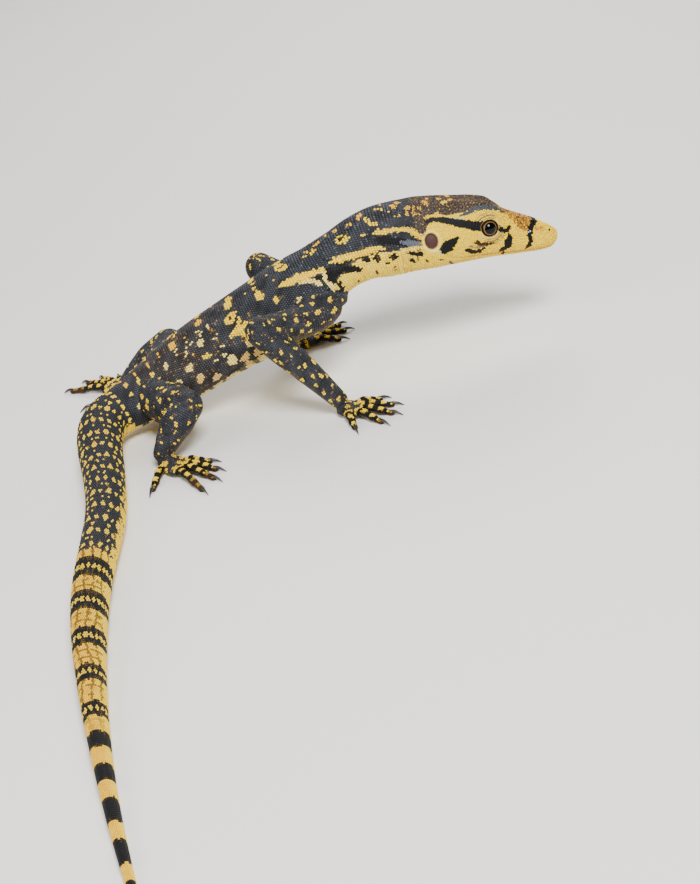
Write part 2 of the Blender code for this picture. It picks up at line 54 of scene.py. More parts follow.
bodyPlan = {
    "hipAt": 102.0, "ventAt": 111.0, "tailLength": 180.0, "hipHeight": 8.8,
    "pitch": ((0, -16), (24, -16), (31, -10), (37, 1), (43, 9), (49, 19), (55, 25), (61, 27), (67, 21),
              (73, 17), (82, 20), (92, 23), (100, 21), (107, 12), (111, 6)),
    "trunkBend": ((0, 0), (84, 0), (99, 10), (111, 29)),
    "tailBend": ((0, 29), (5, 63), (11, 87), (20, 94), (34, 92), (52, 83), (60, 83), (74, 87.5),
                 (100, 93), (132, 97), (165, 101), (180, 103)),
    "roll": ((0, 9), (30, 9), (52, 3), (66, 0), (122, 0), (160, 26), (291, 26)),
    "tailHalves": ((0, 5.4), (20, 5.15), (54, 4.4), (79, 4.0), (102, 3.0), (129, 1.85), (151, 1.2), (165, 0.75),
                   (180, 0.3)),
    "tailSettles": 26.0, "tailSink": 0.92,
}

# at, top, browHalf, browZ, sideHalf, sideZ, jawHalf, jawZ, base
headSections = (
    (0.25, 0.75, 0.80, 0.60, 1.35, -0.3, 0.90, -1.2, -1.4),
    (0.90, 1.35, 1.35, 1.10, 2.15, -0.5, 1.50, -2.1, -2.4),
    (2.00, 1.90, 1.70, 1.60, 2.80, -0.7, 2.00, -2.8, -3.1),
    (3.50, 2.45, 2.00, 2.15, 3.30, -0.9, 2.40, -3.2, -3.5),
    (5.50, 3.10, 2.35, 2.85, 3.80, -1.0, 2.80, -3.5, -3.9),
    (8.00, 3.70, 2.80, 3.50, 4.40, -1.0, 3.20, -3.8, -4.2),
    (10.5, 4.10, 3.30, 4.10, 5.00, -1.0, 3.70, -4.1, -4.5),
    (12.5, 4.60, 3.90, 4.70, 5.50, -0.8, 4.00, -4.3, -4.7),
    (14.5, 5.60, 4.60, 5.90, 6.00, -0.5, 4.30, -4.5, -4.9),
    (17.0, 6.70, 5.00, 7.00, 6.50, -0.3, 4.70, -4.8, -5.4),
    (20.0, 7.10, 4.90, 7.10, 7.00, -0.4, 5.10, -5.3, -6.1),
    (24.0, 7.30, 4.80, 6.80, 7.50, -0.8, 5.50, -5.9, -7.1),
    (28.0, 7.50, 4.90, 6.50, 7.60, -1.0, 5.60, -6.6, -7.9),
    (32.0, 7.60, 4.90, 6.30, 7.30, -1.0, 5.40, -6.9, -8.3),
)
# at, half width, top, base, height of the widest place
roundSections = (
    (36.0, 7.2, 7.8, -8.8, -0.9), (40.0, 7.1, 7.9, -8.6, -0.9), (45.0, 6.9, 7.4, -7.5, -0.9),
    (50.0, 7.1, 6.7, -7.0, -0.9), (55.0, 8.0, 6.9, -7.3, -0.9), (60.0, 8.8, 7.8, -8.1, -0.9),
    (66.0, 9.1, 8.5, -9.3, -0.9), (72.0, 9.4, 8.1, -9.2, -0.9), (80.0, 9.8, 7.4, -8.6, -0.9),
    (92.0, 9.2, 7.0, -7.9, -0.9), (100.0, 7.8, 6.4, -6.8, -0.9), (106.0, 6.4, 5.9, -5.9, -0.4),
    (111.0, 5.3, 5.4, -5.4, 0.0),
)


def smoothThrough(points, places):
    xs, ys = (np.array(column, float) for column in zip(*points))
    places = np.clip(places, xs[0], xs[-1])
    widths = np.diff(xs)
    slopes = np.diff(ys) / widths
    knots = np.empty(len(xs))
    knots[0], knots[-1] = slopes[0], slopes[-1]
    before, after = slopes[:-1], slopes[1:]
    total = np.where(before + after == 0, 1, before + after)
    knots[1:-1] = np.where(before * after > 0, 2 * before * after / total, 0)
    i = np.clip(np.searchsorted(xs, places, side="right") - 1, 0, len(xs) - 2)
    t = (places - xs[i]) / widths[i]
    return ((2 * t**3 - 3 * t**2 + 1) * ys[i] + (t**3 - 2 * t**2 + t) * widths[i] * knots[i]
            + (3 * t**2 - 2 * t**3) * ys[i + 1] + (t**3 - t**2) * widths[i] * knots[i + 1])


def ease(t):
    t = np.clip(t, 0, 1)
    return t * t * (3 - 2 * t)


def unit(v):
    return v / np.maximum(np.linalg.norm(v, axis=-1, keepdims=True), 1e-9)


# Straight between the rows of a table
def between(at, places, table):
    return np.stack([np.interp(at, places, column) for column in table.T], -1)


def lengthsAlong(path):
    return np.concatenate([[0], np.cumsum(np.linalg.norm(np.diff(path, axis=0), axis=1))])


# A smooth curve from b to c, with a and d as the points before and after
def curveBetween(a, b, c, d, t):
    return 0.5 * (2 * b + (c - a) * t + (2 * a - 5 * b + 4 * c - d) * t**2 + (3 * b - a - 3 * c + d) * t**3)


def evenTurns(count):
    return np.linspace(0, 2 * np.pi, count, endpoint=False)


def tailHalf(along):
    return smoothThrough(bodyPlan["tailHalves"], along)


def bodyAxis(step=0.25):
    vent = bodyPlan["ventAt"]
    at = np.arange(0, vent + bodyPlan["tailLength"] + step / 2, step)
    pitch = np.radians(smoothThrough(bodyPlan["pitch"], at))
    tailBend = smoothThrough(bodyPlan["tailBend"], at - vent)
    bend = np.radians(np.where(at > vent, tailBend, smoothThrough(bodyPlan["trunkBend"], at)))
    back = np.stack([-np.cos(pitch) * np.cos(bend), -np.cos(pitch) * np.sin(bend), -np.sin(pitch)], 1)
    points = np.concatenate([[[0, 0, 0]], np.cumsum((back[1:] + back[:-1]) / 2 * step, 0)])
    points -= points[int(bodyPlan["hipAt"] / step)]
    points[:, 2] += bodyPlan["hipHeight"]
    ventIndex = int(vent / step)
    half = tailHalf(at[ventIndex:] - vent)
    lift = points[ventIndex, 2] - bodyPlan["tailSink"] * half[0]
    settled = ease((at[ventIndex:] - vent) / bodyPlan["tailSettles"])
    points[ventIndex:, 2] = bodyPlan["tailSink"] * half + lift * (1 - settled)
    return at, points, unit(-np.gradient(points, axis=0))


axisAt, axisPoints, axisForward = bodyAxis()
vent, tailEnd = bodyPlan["ventAt"], axisAt[-1]


def bodyFrames(at):
    at = np.atleast_1d(np.asarray(at, float))
    point = between(at, axisAt, axisPoints)
    forward = unit(between(at, axisAt, axisForward))
    level = unit(np.cross(np.array([0.0, 0.0, 1.0]), forward))
    roll = np.radians(smoothThrough(bodyPlan["roll"], at))[:, None]
    left = level * np.cos(roll) - np.cross(forward, level) * np.sin(roll)
    return point, forward, left, np.cross(forward, left)


def frameAt(at):
    return tuple(v[0] for v in bodyFrames(at))


def sectionTable():
    corner = math.sqrt(0.5)
    rows = list(headSections)
    for at, half, top, base, sideZ in roundSections:
        rows.append((at, top, half * corner, sideZ + (top - sideZ) * corner, half, sideZ,
                     half * corner, sideZ + (base - sideZ) * corner, base))
    return np.array(rows, float)


sections = sectionTable()


def sectionCorners(at):
    at = np.atleast_1d(np.asarray(at, float))
    columns = [smoothThrough(list(zip(sections[:, 0], sections[:, k])), at) for k in range(1, 9)]
    top, browHalf, browZ, sideHalf, sideZ, jawHalf, jawZ, base = columns
    zero = np.zeros_like(top)
    left = [(browHalf, browZ), (sideHalf, sideZ), (jawHalf, jawZ)]
    ring = [(zero, top), *left, (zero, base), *[(-y, z) for y, z in reversed(left)]]
    trunk = np.stack([np.stack(pair, 1) for pair in ring], 1)
    half = tailHalf(at - vent)
    share = 0.98 - 0.14 * ease((at - vent) / 50.0)
    turns = np.radians(45 * np.arange(8))
    tail = np.stack([(half * share)[:, None] * np.sin(turns), half[:, None] * np.cos(turns)], 2)
    return np.where((at > vent)[:, None, None], tail, trunk)


def roundPoints(corners, places):
    places = np.asarray(places, float)
    k = np.floor(places).astype(int)
    t = (places - k)[None, :, None]
    a, b, c, d = (corners[:, (k + n) % 8] for n in (-1, 0, 1, 2))
    return curveBetween(a, b, c, d, t)


def bodyPoints(at, places):
    point, _, left, up = bodyFrames(at)
    yz = roundPoints(sectionCorners(at), places)
    return point[:, None] + left[:, None] * yz[..., :1] + up[:, None] * yz[..., 1:]


limbPlan = {
    "foreleg_right": ((44, -2, 22), (40.5, -7, 20.5), (27.5, -15, 23), (40.5, -17, 3.5), "hand", -32),
    "foreleg_left": ((44, 5, 22), (40.5, 9.5, 20.5), (30, 17, 24.5), (35, 20.5, 3.5), "hand", 38),
    "hindleg_right": ((3, -1, 9.5), (2, -6, 9), (8, -17, 11), (0.5, -21.5, 3.4), "foot", -52),
    "hindleg_left": ((3, 1.5, 9.5), (2.5, 6, 9), (5, 17.5, 11), (-7, 19, 3.4), "foot", 138),
}
limbHalves = {
    "hand": ((4.2, 4.1, 3.6, 3.3), (3.4, 3.3, 2.7, 2.05)),
    "foot": ((4.7, 5.0, 4.7, 3.7), (3.7, 3.7, 3.0, 2.15)),
}
# palm length, half width, then each digit: angle, along, across, length
pawPlan = {
    "hand": (5.4, 3.0, ((44, 3.6, 2.2, 4.8), (21, 4.9, 1.4, 6.2), (1, 5.2, 0.1, 7.0), (-19, 4.9, -1.3, 6.9),
                        (-50, 3.4, -2.1, 5.2))),
    "foot": (6.8, 3.1, ((38, 5.2, 2.3, 4.8), (20, 6.3, 1.5, 6.8), (5, 6.6, 0.3, 8.6), (-12, 6.2, -1.2, 10.4),
                        (-58, 2.6, -2.0, 7.0))),
}
palmStations = (
    (-0.16, 1.15, 0.30, 0.70), (-0.06, 1.30, 0.62, 1.20), (0.14, 1.50, 0.84, 1.55), (0.40, 1.40, 0.92, 1.44),
    (0.68, 1.20, 1.00, 1.24), (0.90, 1.05, 0.96, 1.10), (1.06, 0.90, 0.70, 0.80),
)


def curveThrough(points, count):
    points = np.array(points, float)
    padded = np.vstack([points[0] * 2 - points[1], points, points[-1] * 2 - points[-2]])
    fine = []
    for a, b, c, d in zip(padded, padded[1:], padded[2:], padded[3:]):
        t = (np.arange(20) / 20)[:, None]
        fine.append(curveBetween(a, b, c, d, t))
    fine = np.vstack([*fine, points[-1:]])
    lengths = lengthsAlong(fine)
    return between(np.linspace(0, lengths[-1], count), lengths, fine)


# A tube is a path with its half widths and two directions square to it that don't twist
def makeTube(path, halves, first=None):
    path = np.asarray(path, float)
    along = unit(np.gradient(path, axis=0))
    start = np.array([0.0, 0.0, 1.0]) if first is None else np.asarray(first, float)
    if abs(along[0] @ start) > 0.95:
        start = np.array([1.0, 0.0, 0.0])
    over = [unit(start - along[0] * (start @ along[0]))]
    for way in along[1:]:
        over.append(unit(over[-1] - way * (over[-1] @ way)))
    over = np.array(over)
    return {"path": path, "half": np.asarray(halves, float), "along": along, "over": over,
            "side": np.cross(along, over), "u": lengthsAlong(path)}


def tubeRings(tube, count, grow=0.0):
    turns = evenTurns(count)
    ring = (tube["over"][:, None] * np.cos(turns)[None, :, None]
            + tube["side"][:, None] * np.sin(turns)[None, :, None])
    return tube["path"][:, None] + ring * (tube["half"] + grow)[:, None, None]


def limbTubes(name):
    root, joint, middle, end, paw, _ = limbPlan[name]
    root, joint, middle, end = (np.array(p, float) for p in (root, joint, middle, end))
    upperHalves, lowerHalves = limbHalves[paw]
    sag = np.array([0, 0, -0.8])
    upper = curveThrough([root, joint, (joint + middle) / 2 + sag, middle], 40)
    lower = curveThrough([middle, (middle + end) / 2 - sag * 0.4, end], 40)
    upperHalf, lowerHalf = (smoothThrough(list(zip(np.linspace(0, 39, 4), halves)), np.arange(40))
                            for halves in (upperHalves, lowerHalves))
    upperTube = makeTube(upper, upperHalf)
    lowerTube = makeTube(lower, lowerHalf, upperTube["over"][-1])
    lowerTube["u"] = lowerTube["u"] + upperTube["u"][-1]
    return upperTube, lowerTube


def pawParts(name):
    _, _, _, end, paw, turn = limbPlan[name]
    length, halfWidth, digits = pawPlan[paw]
    inward = 1 if turn < 0 else -1
    axis = np.array([math.cos(math.radians(turn)), math.sin(math.radians(turn)), 0])
    inner = np.array([-axis[1], axis[0], 0]) * inward
    ground = np.array([end[0], end[1], 0.0])
    tubes = []
    for angle, along, across, reach in digits:
        a = math.radians(turn + inward * angle)
        heading = np.array([math.cos(a), math.sin(a), 0])
        root = ground + axis * (along - 1.2) + inner * across * 0.75
        reach += 1.2
        heights = ((0, 1.2), (0.35, 1.7), (0.7, 1.05), (1, 0.52))
        marks = [root + heading * reach * share + np.array([0, 0, z]) for share, z in heights]
        path = curveThrough(marks, 28)
        share = np.linspace(0, 1, 28)
        knuckles = 0.09 * np.cos((share * 3.2 - 0.25) * 2 * np.pi) * (share > 0.12)
        half = 0.82 * (smoothThrough(((0, 1.1), (0.5, 1.0), (0.85, 0.9), (1, 0.74)), share) + knuckles)
        tubes.append((makeTube(path, half), heading, marks[-1]))
    return ground, axis, inner, length, halfWidth, tubes


eyePlan = {"at": 16.9, "radius": 2.3, "out": 4.5, "height": 1.85, "axis": (0.12, 1.0, 0.12)}


def eyePlace(side):
    point, forward, left, up = frameAt(eyePlan["at"])
    centre = point + left * side * eyePlan["out"] + up * eyePlan["height"]
    f, l, u = eyePlan["axis"]
    return centre, unit(forward * f + left * side * l + up * u)


# The solids were moved so that the middle of their box is over the origin: one eye tells by how much
low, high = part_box("eye_right")
shift = (np.array(low) + np.array(high)) / 2 / millimetre - eyePlace(-1)[0]


# Places on the animal

def meanRadius(s):
    table = np.arange(0.5, tailEnd, 0.5)
    ring = roundPoints(sectionCorners(table), np.arange(0, 8, 0.125))
    girth = np.linalg.norm(np.diff(np.concatenate([ring, ring[:, :1]], 1), axis=1), axis=2).sum(1)
    return np.interp(s, table, girth / (2 * np.pi))


# Which sample of a path is nearest to each point, worked out for some points at once
def nearestSample(points, path, atOnce):
    nearest = np.empty(len(points), int)
    samples = path.astype(np.float32)
    size = (samples**2).sum(1)
    for first in range(0, len(points), atOnce):
        part = points[first:first + atOnce].astype(np.float32)
        nearest[first:first + atOnce] = np.argmin(size[None] - 2 * part @ samples.T, axis=1)
    return nearest


# Distance from the snout, angle from the top (positive on the right side), and y, z in the section there
def bodyCoords(points):
    s = axisAt[nearestSample(points, axisPoints, 20000)]
    for _ in range(2):
        point, forward, left, up = bodyFrames(s)
        s = np.clip(s - ((points - point) * forward).sum(1), 0.0, tailEnd)
    point, forward, left, up = bodyFrames(s)
    y, z = ((points - point) * left).sum(1), ((points - point) * up).sum(1)
    return s, np.degrees(np.arctan2(-y, z)), y, z


# Nearest place on a tube: distance along it, angle round it, distance out over its half width, half width
def tubeCoords(points, tube):
    nearest = nearestSample(points, tube["path"], 50000)
    v = points - tube["path"][nearest]
    extra = (v * tube["along"][nearest]).sum(1)
    v = v - tube["along"][nearest] * extra[:, None]
    over, side = (v * tube["over"][nearest]).sum(1), (v * tube["side"][nearest]).sum(1)
    out = np.sqrt(over**2 + side**2 + np.maximum(np.abs(extra) - 0.6, 0) ** 2) / tube["half"][nearest]
    return tube["u"][nearest] + extra, np.degrees(np.arctan2(side, over)), out, tube["half"][nearest]


limbs = {name: limbTubes(name) for name in limbPlan}
paws = {name: pawParts(name) for name in limbPlan}

# One skin, under all the scales

skinPlan = {
    "inset": 0.12, "voxel": 0.21, "faces": 188000, "headEnd": 37.0,
    "rounds": 6, "pullIn": 0.5, "pushOut": -0.47, "headRounds": 2, "headWeight": 0.5,
    # roots, elbows and wrists of the limbs: index on the limb's path, reach in mm, strength
    "rootRounds": 14, "rootPull": 0.9, "rootAt": 13, "rootReach": 6.5, "elbowReach": 4.0, "wristReach": 3.0,
    "elbowShare": 0.5, "wristShare": 0.4,
}


def meshObject(name, points, faces, smooth=True):
    mesh = bpy.data.meshes.new(name)
    mesh.from_pydata(np.asarray(points).tolist(), [], [tuple(f) for f in faces])
    mesh.validate()
    made = bpy.data.objects.new(name, mesh)
    bpy.context.scene.collection.objects.link(made)
    if smooth:
        mesh.shade_smooth()
    return made


# Quads between rings, and a fan at each end
def ringFaces(rings, sides, start=0):
    faces = []
    for r in range(rings - 1):
        a = start + r * sides
        for k in range(sides):
            n = (k + 1) % sides
            faces.append((a + k, a + n, a + sides + n, a + sides + k))
    first, last = start + rings * sides, start + rings * sides + 1
    for k in range(sides):
        n = (k + 1) % sides
        faces.append((start + n, start + k, first))
        faces.append((start + (rings - 1) * sides + k, start + (rings - 1) * sides + n, last))
    return faces


def joinSolids(name, solids):
    points, faces = [], []
    for rings, ends in solids:
        start = sum(len(p) for p in points)
        faces += ringFaces(rings.shape[0], rings.shape[1], start)
        points.append(np.vstack([rings.reshape(-1, 3), ends]))
    return meshObject(name, np.vstack(points), faces, smooth=False)


def ballRings(centre, radius):
    polar = np.radians(np.linspace(8, 172, 15))
    turns = evenTurns(28)
    rings = np.stack([np.outer(np.sin(polar), np.cos(turns)), np.outer(np.sin(polar), np.sin(turns)),
                      np.outer(np.cos(polar), np.ones(28))], 2) * radius + centre
    return rings, [np.array(centre) + [0, 0, radius], np.array(centre) - [0, 0, radius]]


def withEnds(rings):
    return rings, [rings[0].mean(0), rings[-1].mean(0)]


def fleshSolids():
    inset = skinPlan["inset"]
    at = np.concatenate([np.arange(0.3, 36, 0.4), np.arange(36, vent, 0.8),
                         np.arange(vent, tailEnd - 0.5, 1.0), [tailEnd - 0.1]])
    rings = bodyPoints(at, np.arange(0, 8, 0.125))
    centre = bodyFrames(at)[0][:, None]
    away = rings - centre
    reach = np.linalg.norm(away, axis=2, keepdims=True)
    rings = centre + away * np.maximum(reach - inset, reach * 0.55) / reach
    tip, _, _, up = frameAt(0.0)
    solids = [(rings, [tip - up * 0.3, bodyFrames(tailEnd)[0][0]])]
    for name in limbPlan:
        for tube in limbs[name]:
            solids.append(withEnds(tubeRings(tube, 32, -inset)))
            for end in (0, -1):
                solids.append(ballRings(tube["path"][end], tube["half"][end] - inset))
        ground, axis, inner, length, halfWidth, digits = paws[name]
        turns = evenTurns(32)
        palm = []
        for share, z, width, height in palmStations:
            across = inner * (halfWidth * width - inset)
            middle = ground + axis * length * share + np.array([0, 0, z])
            upwards = np.outer(np.sin(turns), [0, 0, height - inset])
            palm.append(middle + np.outer(np.cos(turns), across) + upwards)
        fine = [palm[0]]
        for a, b in zip(palm, palm[1:]):
            fine += [a + (b - a) * t for t in (0.33, 0.67, 1.0)]
        solids.append(withEnds(np.array(fine)))
        for tube, _, _ in digits:
            solids.append(withEnds(tubeRings(tube, 20, -inset * 0.5)))
            tipHalf = tube["half"][-1] - inset * 0.5
            solids.append(ballRings(tube["path"][-1], tipHalf))
    return solids


def applyModifier(obj, kind, **settings):
    bpy.ops.object.select_all(action="DESELECT")
    obj.select_set(True)
    bpy.context.view_layer.objects.active = obj
    modifier = obj.modifiers.new(kind.title(), kind)
    for key, value in settings.items():
        setattr(modifier, key, value)
    bpy.ops.object.modifier_apply(modifier=modifier.name)


def coordsOf(mesh):
    co = np.empty(len(mesh.vertices) * 3)
    mesh.vertices.foreach_get("co", co)
    return co.reshape(-1, 3)


def normalsOf(mesh):
    no = np.empty(len(mesh.vertices) * 3, np.float32)
    mesh.vertex_normals.foreach_get("vector", no)
    return no.reshape(-1, 3).astype(float)


def setCoords(mesh, co):
    mesh.vertices.foreach_set("co", np.ascontiguousarray(co, np.float32).ravel())
    mesh.update()


def edgesOf(mesh):
    edges = np.empty(len(mesh.edges) * 2, np.int32)
    mesh.edges.foreach_get("vertices", edges)
    return edges.reshape(-1, 2)


def neighbourMean(co, edges):
    total = np.zeros_like(co)
    for k in range(3):
        total[:, k] = (np.bincount(edges[:, 0], co[edges[:, 1], k], len(co))
                       + np.bincount(edges[:, 1], co[edges[:, 0], k], len(co)))
    return total / np.maximum(np.bincount(edges.ravel(), minlength=len(co)), 1)[:, None]


# Each round that pulls in is followed by one that pushes out, so that the skin keeps its size
def smoothPoints(co, edges, weight, rounds):
    for step in range(rounds):
        pull = skinPlan["pullIn"] if step % 2 == 0 else skinPlan["pushOut"]
        co = co + (neighbourMean(co, edges) - co) * (weight * pull)[:, None]
    return co


# Distance in mm from a line of places (s, angle), on the skin laid flat; also the width given along it
def lineDistance(s, angle, marks):
    radius = meanRadius(s)
    best = np.full(len(s), 1e3)
    width = np.zeros(len(s))
    for (s0, a0, w0), (s1, a1, w1) in zip(marks, marks[1:]):
        ax, ay = s - s0, np.radians(angle - a0) * radius
        dx, dy = s1 - s0, np.radians(a1 - a0) * radius
        t = np.clip((ax * dx + ay * dy) / np.maximum(dx * dx + dy * dy, 1e-6), 0, 1)
        d = np.hypot(ax - dx * t, ay - dy * t)
        near = d < best
        best = np.where(near, d, best)
        width = np.where(near, w0 + (w1 - w0) * t, width)
    return best, width


def bell(x, width):
    return np.exp(-(x / width) ** 2)


# Depths, heights and widths in mm; nostril and ear at (distance from the snout, place round the section)
headRelief = {
    "end": 60, "lidLong": 1.06, "browHeight": 0.55, "foldStep": 0.6, "foldDepth": 0.16,
    "lidRim": ((0, 1.3), (1.2, 1.2), (1.62, 1.1), (1.74, 1.38), (1.86, 1.62), (2.1, 1.80), (2.35, 1.84),
               (2.7, 1.72)),
    "canthusTilt": -12, "canthusDepth": 0.32, "rearCanthusDepth": 0.2,
    "nostril": (4.2, 1.32), "nostrilDepth": 0.62, "nostrilWidth": 0.42, "nostrilRim": 0.13,
    "ear": (29.6, 1.97), "earHalves": (1.55, 1.9), "earDepth": 0.62, "earTilt": 14, "earRim": 0.12,
    "drumRise": 0.16, "throatRipple": 0.05, "throatStep": 1.25,
    "lipDepth": 0.26, "lipWidth": 0.17, "mouthCorner": 23.0, "lipPlace": 2.72, "upperLipOut": 0.05,
    "lowerLipIn": 0.07,
}
# s, angle, half width in mm, then depth: creases of the skin on each side
creases = (
    (((22.6, 127, 0.25), (25.5, 124, 0.3), (28.0, 119, 0.3), (30.5, 112, 0.3)), 0.14),
    (((32.6, 105, 0.3), (36.0, 106, 0.35), (41.0, 98, 0.4), (47.0, 88, 0.4), (52.0, 75, 0.4)), 0.20),
    (((53.2, 72, 0.5), (53.8, 92, 0.6), (54.8, 120, 0.6), (55.6, 150, 0.6), (56.0, 180, 0.6)), 0.28),
    (((34.0, 120, 0.3), (35.0, 150, 0.3), (35.2, 180, 0.3)), 0.14),
    (((37.8, 122, 0.3), (38.6, 150, 0.3), (38.8, 180, 0.3)), 0.12),
    (((31.0, 128, 0.3), (31.4, 150, 0.3), (31.5, 180, 0.3)), 0.16),
    (((46.0, 108, 0.3), (47.0, 130, 0.3), (47.4, 160, 0.3)), 0.14),
    (((64.5, 100, 0.5), (69.0, 112, 0.5), (76.0, 118, 0.5), (84.0, 118, 0.4)), 0.16),
)


def eyeFrame(side):
    centre, out = eyePlace(side)
    forward = bodyFrames(eyePlan["at"])[1][0]
    ahead = unit(forward - out * (forward @ out))
    over = np.cross(out, ahead) * (-side)
    return centre, out, ahead, over if over[2] > 0 else -over


# A place on the skin that is given for the right side, on either side
def placeOnSkin(mark, side):
    at, place = mark
    return bodyPoints([at], [place if side > 0 else 8 - place])[0, 0]


# How far out of the eye's centre, ahead and above, each point lies, in the eye's own frame
def eyeCoords(points, side):
    centre, out, ahead, over = eyeFrame(side)
    v = points - centre
    return (v * out).sum(1), (v * ahead).sum(1), (v * over).sum(1)


# Distance from the eye's axis, on rings a little longer than they are high
def lidRing(ahead, above):
    return np.hypot(ahead / headRelief["lidLong"], above)


def turned(a, b, degrees):
    tilt = math.radians(degrees)
    return a * math.cos(tilt) + b * math.sin(tilt), b * math.cos(tilt) - a * math.sin(tilt)


# Distance from the middle of the ear opening, with its rim at 1
def earCoords(points, side):
    spot = placeOnSkin(headRelief["ear"], side)
    _, forward, left, up = frameAt(headRelief["ear"][0])
    a, b = turned((points - spot) @ forward, (points - spot) @ up, headRelief["earTilt"])
    halfLong, halfHigh = headRelief["earHalves"]
    return np.where(np.abs((points - spot) @ left) < 3, np.hypot(a / halfLong, b / halfHigh), 9.0)


def lipHeight(s):
    at = np.arange(0.9, 24, 0.5)
    heights = roundPoints(sectionCorners(at), [headRelief["lipPlace"]])[:, 0, 1]
    return np.interp(s, np.concatenate([[0], at]), np.concatenate([[-1.2], heights]))


# Height of the skin over the plain form: mouth line, creases, nostrils and ear openings
def headDepth(points, s, side, z):
    depth = np.zeros(len(s))
    # lips: a groove, the upper lip a little proud of the lower one
    off = z - lipHeight(s)
    ahead = ease((headRelief["mouthCorner"] - s) / 1.2) * (0.25 + 0.75 * ease((s - 0.4) / 2.0))
    depth -= ahead * headRelief["lipDepth"] * bell(off, headRelief["lipWidth"])
    depth += ahead * headRelief["upperLipOut"] * bell(off - 0.5, 0.3)
    depth -= ahead * headRelief["lowerLipIn"] * ease(-off / 0.2) * ease((2.2 + off) / 1.2)
    for marks, deep in creases:
        d, width = lineDistance(s, side, marks)
        depth -= deep * bell(d, np.maximum(width, 0.2))
        depth += deep * 0.5 * bell(d - width * 2.3, np.maximum(width, 0.2) * 1.2)
    # fine ripples across the throat
    throat = ease((side - 112) / 20) * ease((s - 24) / 3) * ease((54 - s) / 4)
    wave = np.sin(s * 2 * np.pi / headRelief["throatStep"] + 0.6 * np.sin(s * 0.7))
    depth += throat * headRelief["throatRipple"] * wave
    for hand in (1, -1):
        d = np.linalg.norm(points - placeOnSkin(headRelief["nostril"], hand), axis=1)
        depth -= headRelief["nostrilDepth"] * bell(d, headRelief["nostrilWidth"])
        depth += headRelief["nostrilRim"] * bell(d - 0.85, 0.3)
        q = earCoords(points, hand)
        drum = headRelief["earDepth"] * ease((1.08 - q) / 0.2) - headRelief["drumRise"] * ease((0.9 - q) / 0.9)
        depth -= np.where(q < 1.3, drum, 0)
        depth += headRelief["earRim"] * bell(q - 1.25, 0.16)
    return depth


# Lids and socket: the skin is drawn in under the ball, then folds round it
def shapeLids(points, side):
    _, out, _, _ = eyeFrame(side)
    h, a, b = eyeCoords(points, side)
    r = lidRing(a, b)
    near = (h > -0.6) & (r < 5.2)
    brow = headRelief["browHeight"] * bell(np.hypot((a - 0.2) / 2.6, (b - 3.1) / 1.1), 1.0)
    fold = headRelief["foldDepth"] * np.cos((r - 2.35) * 2 * np.pi / headRelief["foldStep"])
    fold *= ease((r - 2.0) / 0.4) * ease((4.6 - r) / 1.6) * (0.6 + 0.4 * np.abs(b) / np.maximum(r, 0.1))
    rim = smoothThrough(headRelief["lidRim"], r)
    target = rim + (h + brow + fold - rim) * ease((r - 1.95) / 0.75)
    lengthwise, across = turned(a, b, headRelief["canthusTilt"])
    groove = bell(across, 0.2)
    for depth, way, first, last, fade in ((headRelief["canthusDepth"], 1, 1.5, 3.2, 1.0),
                                          (headRelief["rearCanthusDepth"], -1, 1.6, 2.7, 0.7)):
        outward = way * lengthwise
        target -= depth * groove * ease((outward - first) / 0.3) * ease((last - outward) / fade)
    return np.where(near[:, None], points + out * (target - h)[:, None], points)


def relieve(co, normals, s, angle, z):
    head = s < headRelief["end"]
    depth = headDepth(co[head], s[head], np.abs(angle[head]), z[head])
    moved = co[head] + normals[head] * depth[:, None]
    for side in (1, -1):
        moved = shapeLids(moved, side)
    result = co.copy()
    result[head] = moved
    # behind the head only the last crease runs on, along the flank
    body = ~head
    marks, deep = creases[-1]
    d, width = lineDistance(s[body], np.abs(angle[body]), marks)
    result[body] += normals[body] * (-deep * bell(d, np.maximum(width, 0.2)))[:, None]
    return result


skin = joinSolids("skin", fleshSolids())
applyModifier(skin, "REMESH", mode="VOXEL", voxel_size=skinPlan["voxel"], adaptivity=0.0)
print("stage: skin remeshed", len(skin.data.vertices))
points = coordsOf(skin.data)
edges = edgesOf(skin.data)
rootWeight = np.zeros(len(points))
for upper, lower in limbs.values():
    for place, share, reach in ((upper["path"][skinPlan["rootAt"]], 1.0, skinPlan["rootReach"]),
                                (upper["path"][-1], skinPlan["elbowShare"], skinPlan["elbowReach"]),
                                (lower["path"][-1], skinPlan["wristShare"], skinPlan["wristReach"])):
        rootWeight = np.maximum(rootWeight, share * bell(np.linalg.norm(points - place, axis=1), reach))
points = smoothPoints(points, edges, np.ones(len(points)), skinPlan["rounds"])
for _ in range(skinPlan["rootRounds"]):
    points += (neighbourMean(points, edges) - points) * (rootWeight * skinPlan["rootPull"])[:, None]
setCoords(skin.data, points)
s, angle, y, z = bodyCoords(points)
points = relieve(points, normalsOf(skin.data), s, angle, z)
points = smoothPoints(points, edges, np.where(s < 36, skinPlan["headWeight"], 0.0), skinPlan["headRounds"])
points[:, 2] = np.maximum(points[:, 2], 0.02)
setCoords(skin.data, points)
print("stage: skin relieved")

group = skin.vertex_groups.new(name="plain")
group.add(np.flatnonzero(s >= skinPlan["headEnd"]).tolist(), 1.0, "REPLACE")
triangles = sum(len(p.vertices) - 2 for p in skin.data.polygons)
applyModifier(skin, "DECIMATE", ratio=skinPlan["faces"] / triangles, vertex_group="plain",
              vertex_group_factor=1.0)
skin.vertex_groups.clear()
skin.data.shade_smooth()
print("stage: skin thinned", len(skin.data.polygons))

# Colours and markings. Each mark is at (s, angle), as read off the animal, with its half sizes in mm

